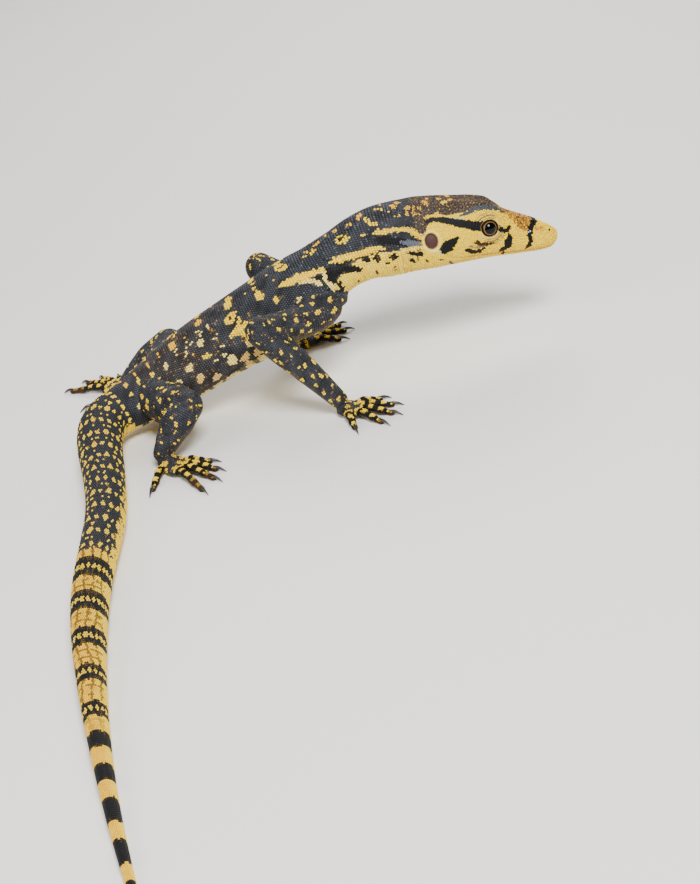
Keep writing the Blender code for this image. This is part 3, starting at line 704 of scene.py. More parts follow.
# slate is lighter than the scales' own dark grey: partly their colour, partly painted sky reflection
palette = {
    "ink": "#0B0B0D", "coal": "#151619", "slate": "#3F4249", "grey": "#5F6570", "white": "#BCC9D6",
    "face": "#FFD70E", "yellow": "#FFD21A", "orange": "#F6B81A", "cream": "#FFE27A", "pale": "#EBC06A",
    "throat": "#FFD63C", "belly": "#F8DC84", "umber": "#3C2212", "tan": "#8A6428", "hole": "#15100C",
    "crown": "#3B332F", "snout": "#B8700E", "nostril": "#C9661A", "drum": "#412A29", "fold": "#6E5850",
    "sole": "#7C6848",
}

# s, angle, half length, half width, tilt in degrees, colour: right side, then mirrored with small changes
spots = (
    (27.3, 9, 1.2, 0.45, 80, "orange"), (26.7, 28, 0.83, 0.55, 52, "yellow"),
    (25.2, 16, 1.2, 0.5, 74, "orange"), (2.4, 62, 0.30, 0.22, 63, "ink"), (13.6, 119, 0.75, 0.36, 53, "ink"),
    (19.2, 97, 0.36, 0.16, -36, "ink"), (17.1, 103, 1.05, 0.24, 3, "umber"),
    (33.6, 115, 1.70, 0.42, -21, "ink"), (32.2, 116, 0.70, 0.60, -23, "ink"),
    (34.2, 128, 0.90, 0.36, -24, "ink"), (27.3, 128, 0.46, 0.24, 11, "ink"),
    (24.6, 139, 1.05, 0.30, -53, "umber"), (30.6, 129, 0.32, 0.25, 5, "umber"), (6.0, 34, 1.9, 0.55, 67, "ink"),
    (6.9, 82, 0.60, 0.45, 59, "ink"), (30.3, 26, 1.05, 0.41, -83, "orange"),
    (32.7, 40, 1.12, 0.22, 82, "orange"), (33.9, 41, 0.73, 0.29, -84, "orange"),
    (32.1, 47, 0.48, 0.28, -24, "orange"), (31.5, 38, 0.50, 0.33, -26, "orange"),
    (29.6, 8, 0.9, 0.3, 80, "orange"), (47.1, 41, 1.72, 0.95, -38, "yellow"),
    (47.1, 39, 0.69, 0.30, -33, "hole"), (43.2, 53, 0.55, 0.39, -47, "yellow"),
    (42.4, 57, 0.38, 0.28, -49, "yellow"), (41.4, 31, 1.03, 0.45, -76, "yellow"),
    (40.5, 42, 1.13, 0.40, -22, "yellow"), (42.6, 15, 1.04, 0.60, 69, "orange"),
    (44.4, 22, 0.50, 0.30, -71, "orange"), (45.3, 20, 0.42, 0.25, 82, "orange"),
    (39.0, 15, 0.52, 0.38, -36, "yellow"), (38.1, 19, 0.70, 0.40, -39, "yellow"),
    (36.0, 20, 0.95, 0.60, -84, "orange"), (36.9, 28, 0.44, 0.22, -52, "orange"),
    (35.1, 12, 0.80, 0.50, -61, "orange"), (36.3, 41, 0.49, 0.30, -31, "yellow"),
    (35.2, 43, 0.38, 0.28, -66, "yellow"), (33.6, 31, 0.80, 0.55, -79, "orange"),
    (38.0, 3, 0.5, 0.35, 80, "orange"), (53.1, 22, 0.77, 0.42, -69, "orange"),
    (53.7, 28, 0.78, 0.36, 45, "yellow"), (54.6, 17, 0.62, 0.28, -68, "orange"),
    (55.2, 25, 0.60, 0.24, -68, "yellow"), (51.9, 12, 0.77, 0.60, 10, "orange"),
    (47.7, 12, 0.70, 0.36, -63, "orange"), (49.6, 5, 0.6, 0.3, 80, "orange"),
    (60.9, 14, 1.97, 1.25, -63, "yellow"), (60.9, 14, 1.06, 0.34, 7, "hole"),
    (69.4, -6, 1.5, 0.95, -88, "yellow"), (69.0, 10, 0.91, 0.42, -11, "yellow"),
    (69.3, 20, 0.73, 0.38, -66, "orange"), (69.0, 30, 0.46, 0.31, -68, "orange"),
    (71.7, 20, 0.39, 0.25, 76, "orange"), (68.7, 40, 1.35, 1.05, -81, "yellow"),
    (65.6, 60, 0.9, 0.6, 60, "yellow"), (63.6, 30, 0.45, 0.3, -60, "orange"),
    (65.0, 12, 0.5, 0.3, -70, "orange"), (55.2, 76, 0.89, 0.45, -73, "ink"), (55.2, 105, 1.01, 0.44, 79, "ink"),
    (53.1, 92, 1.08, 0.60, -60, "ink"), (51.6, 60, 0.98, 0.26, -39, "ink"), (38.4, 112, 1.05, 0.85, -32, "ink"),
    (42.0, 105, 1.05, 0.85, -76, "ink"), (44.4, 97, 1.20, 0.60, -37, "ink"),
    (40.2, 120, 0.60, 0.42, -64, "ink"), (34.2, 126, 0.81, 0.25, -23, "ink"),
    (52.4, 108, 0.70, 0.55, 44, "ink"), (52.8, 120, 1.00, 0.80, 85, "ink"), (48.5, 135, 0.7, 0.3, 85, "umber"),
    (43.5, 134, 0.8, 0.3, 80, "umber"), (39.0, 138, 0.9, 0.3, 85, "umber"), (76.2, 13, 2.9, 0.95, 84, "yellow"),
    (76.8, 47, 1.80, 1.20, 44, "yellow"), (77.0, 47, 0.55, 0.30, 33, "hole"),
    (76.5, 70, 2.76, 0.82, 10, "yellow"), (75.3, 92, 1.38, 1.22, 56, "cream"),
    (75.6, 112, 1.65, 0.89, 41, "pale"), (78.6, 108, 1.49, 0.89, 27, "pale"),
    (81.3, 101, 1.29, 1.00, 64, "cream"), (78.9, 121, 1.07, 0.73, -11, "pale"),
    (76.2, 125, 0.94, 0.49, 45, "pale"), (82.2, 87, 0.54, 0.42, -7, "cream"),
    (81.6, 77, 0.49, 0.30, -15, "cream"), (85.5, 77, 1.07, 0.55, -9, "yellow"),
    (85.2, 56, 0.92, 0.84, -75, "cream"), (84.0, 14, 1.70, 0.75, 89, "orange"),
    (82.2, 37, 0.77, 0.42, 76, "cream"), (84.3, 42, 0.79, 0.32, 60, "cream"),
    (84.9, 34, 0.49, 0.24, -25, "cream"), (91.5, 22, 1.60, 0.85, -89, "orange"),
    (88.2, 39, 0.54, 0.35, 40, "cream"), (87.6, 47, 1.40, 0.24, 14, "cream"),
    (90.3, -4, 1.50, 0.45, 68, "yellow"), (89.4, 56, 0.57, 0.32, 41, "cream"),
    (91.2, 39, 0.62, 0.25, 8, "cream"), (92.4, 41, 0.36, 0.22, -59, "cream"),
    (91.8, 47, 0.44, 0.29, -58, "cream"), (88.2, 65, 0.42, 0.30, -55, "orange"),
    (87.3, 69, 0.43, 0.28, 15, "umber"), (87.9, 26, 0.42, 0.28, -49, "orange"),
    (86.7, -14, 1.10, 0.40, -79, "umber"), (83.7, 67, 0.37, 0.25, -46, "umber"),
    (81.6, 49, 0.75, 0.32, -38, "tan"), (81.3, 61, 0.72, 0.22, 34, "cream"),
    (82.2, 62, 0.49, 0.25, -16, "cream"), (81.6, 68, 0.40, 0.22, 39, "tan"), (83.1, 80, 0.64, 0.22, 21, "tan"),
    (84.3, 89, 0.85, 0.24, -26, "cream"), (76.8, 85, 0.52, 0.30, -29, "tan"),
    (84.0, -25, 1.20, 0.30, -83, "orange"), (80.4, -20, 0.82, 0.34, -90, "orange"),
    (95.4, 12, 0.85, 0.38, -70, "orange"), (95.7, 22, 0.49, 0.30, -66, "orange"),
    (79.8, 37, 0.42, 0.26, -59, "tan"), (80.4, 41, 0.59, 0.33, -84, "grey"), (73.0, 58, 0.5, 0.3, 30, "tan"),
    (72.6, 80, 0.6, 0.45, 40, "cream"), (71.0, 66, 0.4, 0.3, 60, "tan"), (65.5, 95, 1.0, 0.7, 30, "pale"),
    (68.4, 84, 1.0, 0.7, 45, "cream"), (70.0, 104, 1.2, 0.8, 35, "pale"), (61.5, 82, 0.9, 0.6, 30, "cream"),
    (90.6, 76, 1.1, 0.75, 20, "cream"), (90.0, 98, 1.3, 0.9, 35, "pale"), (86.8, 112, 1.4, 0.9, 20, "pale"),
    (95.4, 50, 0.9, 0.7, 60, "cream"), (95.2, 84, 1.0, 0.8, 30, "cream"), (94.6, 112, 1.3, 0.8, 20, "pale"),
    (99.0, 16, 1.1, 0.55, 85, "orange"), (99.4, 42, 0.8, 0.6, 60, "yellow"), (99.2, 66, 0.7, 0.5, 40, "cream"),
    (103.0, 6, 0.8, 0.45, 80, "orange"), (103.4, 30, 0.9, 0.5, 70, "yellow"),
    (103.2, 56, 0.7, 0.5, 50, "yellow"), (107.0, 16, 0.9, 0.5, 80, "orange"),
    (107.2, 44, 0.9, 0.5, 70, "yellow"), (107.4, 74, 0.8, 0.5, 50, "cream"),
)
# Lines of (s, angle, half width)
stripes = (
    ("slate", ((23.4, 52, 0.20), (21.3, 46, 0.40), (20.1, 42, 0.60), (17.7, 40, 0.62), (15.6, 39, 0.60),
               (13.6, 38, 0.35))),
    ("yellow", ((30.3, 54, 0.53), (28.2, 51, 0.50), (27.0, 55, 0.36), (25.8, 57, 0.22))),
    ("face", ((24.0, 57, 0.15), (21.3, 53, 0.50), (19.5, 49, 0.58), (17.7, 47, 0.51), (15.0, 46, 0.70),
              (12.9, 52, 0.80), (12.3, 60, 0.60))),
    ("white", ((27.0, 56, 0.18), (24.9, 58, 0.26), (23.1, 56, 0.22))),
    ("ink", ((17.9, 69, 1.1), (20.1, 69, 1.12), (21.3, 67, 1.0), (24.3, 64, 0.9), (27.0, 60, 0.72),
             (29.1, 58, 0.52), (30.4, 61, 0.46))),
    ("ink", ((16.2, 69, 0.80), (15.3, 69, 0.66), (14.1, 73, 0.60), (12.9, 76, 0.42), (12.3, 69, 0.40),
             (12.1, 65, 0.34))),
    ("ink", ((5.7, 0, 0.50), (6.2, 36, 0.62), (7.0, 66, 0.62), (7.2, 87, 0.51), (6.8, 104, 0.44),
             (7.2, 117, 0.50), (7.8, 124, 0.25))),
    ("white", ((6.1, 44, 0.26), (6.6, 60, 0.28), (7.2, 76, 0.20))),
    ("ink", ((24.0, 90, 0.35), (24.7, 96, 0.85), (25.7, 103, 1.35), (26.8, 110, 1.20), (27.8, 115, 0.45))),
    ("ink", ((12.1, 87, 0.45), (12.1, 94, 0.85), (12.2, 102, 0.95), (12.0, 107, 0.80), (12.8, 116, 0.50),
             (13.1, 122, 0.48), (12.9, 130, 0.34))),
    ("ink", ((21.6, 111, 0.42), (20.4, 117, 0.55), (18.6, 116, 0.52), (17.7, 112, 0.36))),
    # painted shade in a fold of the skin below and behind the eye
    ("fold", ((21.0, 105, 0.30), (19.2, 109, 0.32), (18.0, 106, 0.32))),
    ("umber", ((19.9, 99, 0.25), (18.4, 103, 0.45), (16.9, 104, 0.45), (15.8, 101, 0.25))),
    ("ink", ((41.1, 71, 0.34), (39.6, 76, 0.97), (38.1, 83, 0.94), (36.3, 89, 1.00), (34.5, 95, 0.67))),
    ("grey", ((36.0, 90, 0.45), (34.5, 95, 0.85), (32.4, 98, 0.43))),
    ("cream", ((36.3, 104, 0.30), (34.5, 105, 0.42), (32.1, 105, 0.42), (29.4, 110, 0.43), (27.3, 118, 0.50))),
    ("yellow", ((40.8, 59, 0.35), (40.2, 60, 0.65), (38.7, 64, 0.77), (37.2, 65, 0.65), (35.1, 69, 0.66),
                (33.6, 74, 0.72), (32.7, 82, 0.72), (31.8, 88, 0.60))),
    ("yellow", ((51.3, 67, 0.26), (50.4, 68, 0.72), (48.6, 74, 0.82), (46.8, 80, 0.82), (44.7, 84, 0.82),
                (42.6, 85, 0.78), (41.1, 88, 0.58), (39.9, 91, 0.31))),
    ("ink", ((53.4, 79, 0.95), (51.9, 85, 1.05), (50.1, 89, 1.05), (48.6, 97, 0.85), (47.4, 105, 0.80),
             (46.4, 111, 0.50))),
    ("yellow", ((63.9, 46, 0.15), (62.4, 47, 0.62), (60.6, 51, 1.00), (58.8, 54, 0.95), (57.0, 60, 0.90),
                (54.9, 66, 0.69), (53.7, 69, 0.60), (53.4, 75, 0.40))),
    ("cream", ((59.4, 63, 0.25), (57.6, 68, 0.46), (56.4, 72, 0.55), (55.8, 81, 0.50), (55.8, 89, 0.31))),
    ("cream", ((53.7, 76, 0.45), (54.0, 85, 0.55), (54.0, 94, 0.55), (54.0, 105, 0.50), (54.6, 114, 0.35),
               (54.9, 126, 0.25))),
    ("yellow", ((75.9, 88, 0.15), (76.1, 78, 0.45), (76.0, 64, 0.55), (75.2, 54, 0.15))),
)
# Where the top of the head, the neck's black side and the flank end: s and angle
zoneEdges = {
    "crown": ((6.6, 78), (8.1, 74), (10.0, 62), (10.8, 55), (12.3, 42), (14.0, 37), (18.6, 38), (20.1, 39),
              (22.5, 46), (26.4, 52), (30.3, 50), (32.0, 66), (33.0, 90)),
    "neck": ((30.6, 92), (33.6, 101), (37.2, 104), (40.5, 99), (43.5, 92), (45.3, 90), (47.4, 92), (49.8, 95),
             (51.9, 100), (54.3, 106), (56.0, 112), (62.0, 118), (73.0, 120), (84.0, 126), (100.0, 128),
             (111.0, 126)),
}
bodyMarks = {"wave": 7.0, "speckStep": 1.25, "barStep": 4.4, "barWide": 0.34, "ripple": 0.8, "mottle": 1.5}
# Rows of dots, large and small in turn: step, half length and half width; then dark bands with beads in them
tailPlan = {
    "rows": 2.45, "firstRow": 112.0, "rowsEnd": 173.0,
    "steps": (1.75, 1.15), "long": (0.86, 0.38), "wide": (0.50, 0.30),
    "bands": ((175.3, 182.1), (186.9, 193.1), (198.6, 203.9), (209.5, 214.2), (220.3, 224.5), (228.6, 232.9),
              (237.3, 241.8), (246.3, 252.5), (256.9, 262.9), (267.0, 273.2), (277.2, 283.0), (286.5, 292.0)),
    "splitTo": 225.0, "beadStep": 1.15, "beadLong": 0.30, "beadWide": 0.44, "netStep": 1.9, "netWide": 0.24,
}
limbMarks = {"step": 2.75, "radius": (0.32, 0.66), "pawStep": 2.2, "pawRadius": (0.5, 0.8), "phalanx": 2.3,
             "loose": 0.75, "grid": 60, "digitEnd": 7.5}


def linearColour(code):
    values = [int(code[k:k + 2], 16) / 255 for k in (1, 3, 5)]
    return (*[v / 12.92 if v <= 0.04045 else ((v + 0.055) / 1.055) ** 2.4 for v in values], 1.0)


tones = {name: np.array(linearColour(code)[:3]) for name, code in palette.items()}


def lay(colour, weight, name):
    weight = np.clip(weight, 0, 1)[:, None]
    return colour * (1 - weight) + tones[name] * weight


# An uneven wave over the skin, from -1 to 1, about `size` mm across
def wobble(x, y, size, phase=0.0):
    a, b = x * 2 * np.pi / size, y * 2 * np.pi / size
    return (np.sin(a + 1.7 * np.sin(0.6 * b + phase)) + np.sin(1.13 * b + 1.4 * np.sin(0.7 * a - phase) + 2.0)
            + 0.6 * np.sin(2.3 * a - 1.9 * b + phase)) / 2.6


darkBelow = 0.09


# On the skin, pale marks are drawn in and dark ones out, so that no pale rim shows between the scales
def drawnIn(name):
    return 1.0 if tones[name].mean() > darkBelow else -0.3


def brightness(colour):
    return colour @ np.array([0.21, 0.72, 0.07])


def inside(distance, soft):
    return np.clip(0.5 - distance / soft, 0, 1)


def mirroredSpots():
    both = list(spots)
    for at, angle, length, width, tilt, name in spots:
        if angle < 14:
            continue
        loose = 0.0 if at < 34 else 1.0
        both.append((at + loose * rng.uniform(-0.5, 0.5), -(angle + loose * rng.uniform(-3, 3)),
                     length * rng.uniform(0.88, 1.1), width * rng.uniform(0.9, 1.1), -tilt, name))
    return both


allSpots = mirroredSpots()


def bodyColour(s, angle, jitter, soft, shrink):
    side = np.abs(angle)
    radius = meanRadius(s)
    arc = np.radians(angle) * radius
    edge = jitter * 0.22 + wobble(s, arc, 1.5) * 0.14
    colour = np.tile(tones["coal"], (len(s), 1))
    # trunk: slate with rows of dull specks, browner and paler behind and low on the flanks
    row = np.abs((s / bodyMarks["speckStep"]) % 1 - 0.5) * 2
    speck = (row > 0.45) & (jitter > 0.55)
    colour = lay(colour, 0.25 + 0.25 * wobble(s, arc, bodyMarks["wave"]), "slate")
    trunk = ease((s - 56) / 14) * ease((108 - s) / 9)
    colour = lay(colour, trunk * ease((s - 72) / 22) * 0.035, "tan")
    colour = lay(colour, speck * trunk * ease((s - 70) / 10) * 0.28, "tan")
    colour = lay(colour, (s > 30) * (s < 60) * (jitter > 0.6) * 0.25, "grey")
    under = np.interp(s, *zip(*zoneEdges["neck"]))
    beneath = inside(under - side + edge * 6, soft * 10) * (s > 30.6) * (s < vent)
    throat = ease((58 - s) / 6)
    colour = lay(colour, beneath * throat, "throat")
    colour = lay(colour, beneath * (1 - throat), "belly")
    bar = np.abs(((s + wobble(s, arc, 9) * 0.8) / bodyMarks["barStep"]) % 1 - 0.5) * 2
    barHere = beneath * (1 - throat) * (bar < bodyMarks["barWide"]) * ease((168 - side) / 22)
    colour = lay(colour, barHere * 0.85, "ink")
    # face
    crown = np.interp(s, *zip(*zoneEdges["crown"]))
    face = inside(crown - side + edge * 3, soft * 6) * (s < 33.5)
    face = np.where(s < 6.6, 1.0, face)
    face = face * inside(s - 31.2 - edge + 0.045 * (90 - side), soft)
    colour = lay(colour, face, "face")
    colour = lay(colour, face * ease((side - 118) / 16) * 0.7, "throat")
    colour = lay(colour, face * (jitter > 0.5) * 0.22, "cream")
    top = (1 - face) * (s < 33) * (s > 6.4)
    colour = lay(colour, top * 0.62, "crown")
    snoutTop = top * ease((14.5 - s) / 3.0)
    fringe = np.maximum(snoutTop, top * ease((side - crown + 14) / 12) * ease((17 - s) / 4))
    colour = lay(colour, fringe * 0.9, "orange")
    ripple = wobble(arc, s, bodyMarks["ripple"], 2.0) + 0.5 * jitter
    mottle = wobble(s, arc, bodyMarks["mottle"], 1.0) + 0.8 * jitter
    colour = lay(colour, fringe * (mottle > 0.05) * 0.7, "snout")
    colour = lay(colour, fringe * (mottle < -0.30) * 0.85, "crown")
    colour = lay(colour, top * (1 - fringe) * (ripple > 0.30) * 0.60, "tan")
    colour = lay(colour, top * (1 - fringe) * (ripple > 0.85) * 0.35, "orange")
    colour = lay(colour, top * (ripple < -0.45) * 0.7, "ink")
    # stripes, then spots
    for name, marks in stripes:
        d, width = lineDistance(s, side, marks)
        colour = lay(colour, inside(d - width + edge * 0.6 + shrink * drawnIn(name), soft), name)
    for at, turn, length, width, tilt, name in allSpots:
        along, across = turned(s - at, np.radians(angle - turn) * radius, tilt)
        d = (np.hypot(along / length, across / width) - 1) * min(length, width)
        colour = lay(colour, inside(d + edge * 0.45 + shrink * drawnIn(name), soft), name)
    # lips a little redder along the mouth
    lip = bell(side - 127, 6) * ease((22 - s) / 3) * (s > 1)
    colour = lay(colour, lip * 0.22, "nostril")
    return tailColour(colour, s, angle, radius, jitter, soft, shrink)


# Painted shadows in the folds of the lids: distance from the eye's middle, half width, above or below, strength
lidFoldShadows = ((2.30, 0.11, 1, 0.95), (2.90, 0.15, 1, 0.95), (3.50, 0.12, 1, 0.55),
            (2.40, 0.10, -1, 0.80), (2.95, 0.13, -1, 0.90), (3.55, 0.12, -1, 0.70))


# Painted shadows along the folds of the lids, on pale scales only; a reddish patch behind each nostril, with
# painted shade in its opening
def headDetails(colour, points):
    light = ease((brightness(colour) - 0.2) / 0.1)
    for side in (1, -1):
        h, a, b = eyeCoords(points, side)
        r = lidRing(a, b)
        lid = (h > 0.2) * light
        colour = lay(colour, lid * inside(r - 2.75, 0.5) * 0.40, "cream")
        # each fold of the lids gets a line of painted shadow
        for place, half, above, strength in lidFoldShadows:
            reach = ease((b * above + 0.5) / 0.9) * ease((1.6 - a * above) / 1.2)
            colour = lay(colour, lid * reach * inside(np.abs(r - place) - half, 0.1) * strength, "fold")
        spot = placeOnSkin(headRelief["nostril"], side)
        d = np.linalg.norm(points - spot, axis=1)
        forward = frameAt(headRelief["nostril"][0])[1]
        behind = np.linalg.norm(points - spot - forward * -1.5, axis=1)
        colour = lay(colour, inside(behind - 0.6, 0.4) * 0.75, "nostril")
        colour = lay(colour, inside(d - 0.62, 0.3) * 0.6, "nostril")
        # the middle of the nostril dark: painted shade in its opening
        colour = lay(colour, inside(d - 0.34, 0.2), "umber")
    return colour


# Behind the vent: rows of dots on black, then dark bands with beads on yellow
def tailColour(colour, s, angle, radius, jitter, soft, shrink):
    side = np.abs(angle)
    tail = s > vent - 0.5
    arc = np.radians(angle) * radius
    step, first = tailPlan["rows"], tailPlan["firstRow"]
    order = np.round((s - first) / step)
    off = s - first - order * step
    big = order % 2 == 0
    painted = np.tile(tones["coal"] * 0.9 + tones["slate"] * 0.18, (len(s), 1))
    low = ease((side - 84) / 40)
    pitch = np.where(big, *tailPlan["steps"])
    nearest = np.round(arc / pitch + 0.5 * (order % 4 > 1)) - 0.5 * (order % 4 > 1)
    size = 1 + 0.22 * np.sin(nearest * 2.9 + order * 1.7)
    halfLong = np.where(big, *tailPlan["long"]) * size * (1 + 0.35 * low)
    halfWide = np.where(big, *tailPlan["wide"]) * size * (1 + 0.9 * low * big)
    missing = (~big) & (np.sin(nearest * 4.3 + order * 2.1) > 0.35)
    dot = (np.hypot(off / halfLong, (arc - nearest * pitch) / halfWide) - 1) * halfWide
    fade = inside(dot + jitter * 0.08 + shrink, soft) * ~missing
    painted = lay(painted, fade * ease((tailPlan["rowsEnd"] + 3 - s) / 3), "yellow")
    painted = lay(painted, fade * ease((50 - side) / 40) * 0.35, "orange")
    hook = np.abs(off - 0.25 * np.sin(arc * 1.3)) - (0.62 - 0.45 * low)
    belowHere = inside(106 - side + 16 * wobble(s, arc, 5.0) + jitter * 4, 12)
    hooked = np.where(big, inside(0.2 - hook + shrink, soft), inside(shrink - hook, soft))
    painted = lay(painted, belowHere * hooked, "yellow")
    painted = lay(painted, ease((side - 150) / 20) * 0.9, "cream")
    # past the rows, dark bands on yellow, with a row of dots inside the first ones
    banded = s > tailPlan["rowsEnd"] - 0.5 * jitter - 0.5
    ground = np.tile(tones["yellow"], (len(s), 1))
    ground = lay(ground, ease((88 - side) / 60) * 0.60, "orange")
    # the top mixed darker towards ochre: partly its own colour, partly painted shade
    ground = lay(ground, ease((80 - side) / 50) * (0.16 + 0.10 * wobble(s, arc, 3.5)), "tan")
    net = np.abs((arc / tailPlan["netStep"] + 0.25 * np.sin(s * 0.35) + 0.5) % 1 - 0.5) * tailPlan["netStep"]
    for (_, start), (end, _) in zip(tailPlan["bands"], tailPlan["bands"][1:]):
        gap = np.abs(np.abs(s - (start + end) / 2) - (end - start) * 0.20) + 0.15 * np.sin(arc * 2.6 + start)
        net = np.where((s > start) & (s < end), np.minimum(net, gap), net)
    net = net + 0.10 * jitter + 0.14 * wobble(s, arc, 2.2)
    netHere = inside(net - tailPlan["netWide"], 0.12) * (side < 96)
    ground = lay(ground, netHere * ease((238 - s) / 22) * 0.80, "umber")
    for start, end in tailPlan["bands"]:
        middle, half = (start + end) / 2, (end - start) / 2
        waver = 0.35 * np.sin(arc * 2.1 + start) + 0.2 * np.sin(arc * 4.7 + 2 * start) + jitter * 0.15
        d = np.abs(s - middle) - half * (1 - 0.28 * ease((side - 90) / 60)) + waver * 0.5
        ground = lay(ground, inside(d, soft), "ink")
        if end < tailPlan["splitTo"]:
            beadStep = tailPlan["beadStep"]
            across = arc - (np.round(arc / beadStep + start) - start) * beadStep
            beads = np.hypot((s - middle) / (half * tailPlan["beadLong"]), across / tailPlan["beadWide"])
            ground = lay(ground, inside((beads - 1) * 0.40 + jitter * 0.06 + shrink, soft) * 0.9, "yellow")
    painted = np.where(banded[:, None], ground, painted)
    return np.where(tail[:, None], painted, colour)


gridSize = limbMarks["grid"]
limbSpots = {name: rng.uniform(-0.5, 0.5, (gridSize, gridSize, 3)) for name in limbPlan}


# Dots on a limb, on an uneven grid along it and round it
def limbColour(name, along, turn, half, up, jitter, soft, shrink, paw):
    step = limbMarks["pawStep" if paw else "step"]
    low, high = limbMarks["pawRadius" if paw else "radius"]
    arc = np.radians(turn) * half
    best = np.full(len(along), 9.0)
    row0, column0 = np.round(along / step), np.round(arc / step)
    for dr in (-1, 0, 1):
        for dc in (-1, 0, 1):
            row, column = (row0 + dr).astype(int), (column0 + dc).astype(int)
            shake = limbSpots[name][row % gridSize, column % gridSize]
            x = (row + shake[:, 0] * limbMarks["loose"]) * step
            y = (column + 0.5 * (row % 2) + shake[:, 1] * limbMarks["loose"]) * step
            size = low + (high - low) * (shake[:, 2] + 0.5) ** 1.3
            best = np.minimum(best, np.hypot(along - x, (arc - y) * 1.05) - size)
    colour = np.tile(tones["coal"], (len(along), 1))
    colour = lay(colour, 0.32 + 0.2 * wobble(along, arc, 6.0) + 0.16 * jitter, "slate")
    below = ease((-up - 0.25) / 0.6)
    colour = lay(colour, below * 0.65, "sole")
    colour = lay(colour, inside(best + jitter * 0.10 - 0.12 * below + shrink, soft), "yellow")
    colour = lay(colour, (jitter > 0.8) * 0.35, "tan")
    return colour


def digitColour(along, up, jitter, soft, shrink):
    colour = np.tile(tones["ink"], (len(along), 1))
    phase = (along / limbMarks["phalanx"]) % 1
    patch = (np.abs(phase - 0.5) - 0.25 + jitter * 0.05) * limbMarks["phalanx"] + shrink * 0.6
    colour = lay(colour, inside(patch, soft) * inside(0.62 - up, 0.25), "yellow")
    colour = lay(colour, ease((-up - 0.2) / 0.5) * 0.6, "sole")
    return lay(colour, (along > limbMarks["digitEnd"]) * 0.7, "umber")


# How near a place is to the part it is on, in half widths, or in mm for palms and heights
partReach = {"headEnd": 34, "limb": 1.9, "nearer": 0.98, "digit": 1.45, "digitFrom": 1.1, "digitHigh": 3.6,
             "palmBack": -1.6, "palmLong": 1.15, "palmWide": 1.6, "palmHigh": 3.3, "palmMarksFrom": 40}


# Which part of the animal a place on the skin is on: 0 for the body, then limbs, palms and digits in turn
def ownersOf(points):
    s, angle, y, z = bodyCoords(points)
    best = np.hypot(y, z) / meanRadius(s)
    owner = np.zeros(len(points), int)
    parts = []
    for name in limbPlan:
        for tube in limbs[name]:
            u, phi, out, half = tubeCoords(points, tube)
            nearer = (out < best * partReach["nearer"]) & (out < partReach["limb"]) & (s >= partReach["headEnd"])
            parts.append((name, "limb", (u, phi, half)))
            best, owner = np.where(nearer, out, best), np.where(nearer, len(parts), owner)
        ground, axis, inner, length, halfWidth, digits = paws[name]
        fore, across = (points - ground) @ axis, (points - ground) @ inner
        onPalm = (fore > partReach["palmBack"]) & (fore < length * partReach["palmLong"])
        onPalm &= (np.abs(across) < halfWidth * partReach["palmWide"]) & (points[:, 2] < partReach["palmHigh"])
        parts.append((name, "palm", (fore + partReach["palmMarksFrom"], np.degrees(across), np.ones(len(fore)))))
        owner = np.where(onPalm, len(parts), owner)
        for tube, _, _ in digits:
            u, phi, out, half = tubeCoords(points, tube)
            parts.append((name, "digit", (u, phi, half)))
            onDigit = (out < partReach["digit"]) & (u > partReach["digitFrom"])
            owner = np.where(onDigit & (points[:, 2] < partReach["digitHigh"]), len(parts), owner)
    return s, angle, owner, parts


# Colour of each place, with its distance along the part it is on and its angle round that part
def paintPlaces(points, normals, jitter, soft, shrink=0.0):
    s, angle, owner, parts = ownersOf(points)
    colour = headDetails(bodyColour(s, angle, jitter, soft, shrink), points)
    along, around = s.copy(), angle.copy()
    for index, (name, kind, places) in enumerate(parts, 1):
        here = owner == index
        if not here.any():
            continue
        a, b, half = (v[here] for v in places)
        along[here], around[here] = a, b
        look = (normals[here, 2], jitter[here], soft, shrink)
        if kind == "digit":
            colour[here] = digitColour(a, *look)
        else:
            colour[here] = limbColour(name, a, b, half, *look, kind == "palm")
    return colour, along, around, owner


def storeColour(mesh, values):
    layer = mesh.color_attributes.new(name="tone", type="FLOAT_COLOR", domain="POINT")
    data = np.concatenate([values, np.ones((len(values), 1))], 1).astype(np.float32)
    layer.data.foreach_set("color", data.ravel())


points = coordsOf(skin.data)
normals = normalsOf(skin.data)
skinLook = {"soft": 0.15, "shrink": 0.28, "darkBelow": 0.17, "darkToneAndShade": 0.6, "paleToneAndShading": (0.58, 0.53, 0.46)}
skinTone = paintPlaces(points, normals, np.zeros(len(points)), skinLook["soft"], skinLook["shrink"])[0]
# between the scales the skin is darker than they are: partly its own duller, a little greyer colour, partly
# painted shade in the grooves
dark = (brightness(skinTone) < skinLook["darkBelow"])[:, None]
skinTone = np.where(dark, skinTone * skinLook["darkToneAndShade"], skinTone * np.array(skinLook["paleToneAndShading"]))
for side in (1, -1):
    q = earCoords(points, side)
    drum = inside(q - 0.98, 0.15)
    skinTone = lay(skinTone, drum, "drum")
    # the drum darker towards its rim, where it lies deepest: painted shade
    skinTone = lay(skinTone, drum * ease((q - 0.55) / 0.4) * 0.75, "umber")
    skinTone = lay(skinTone, inside(q - 1.35, 0.2) * (1 - drum) * 0.8, "cream")
    h, a, b = eyeCoords(points, side)
    r = lidRing(a, b)
    nearEye = h > 0.2
    skinTone = lay(skinTone, nearEye * inside(r - 2.02, 0.12), "umber")
    skinTone = lay(skinTone, nearEye * inside(np.abs(r - 1.97) - 0.06, 0.1) * 0.6, "pale")
    skinTone = lay(skinTone, nearEye * inside(r - 1.82, 0.12) * 0.8, "ink")
storeColour(skin.data, skinTone)
print("stage: skin painted")

# Scales, laid on one by one

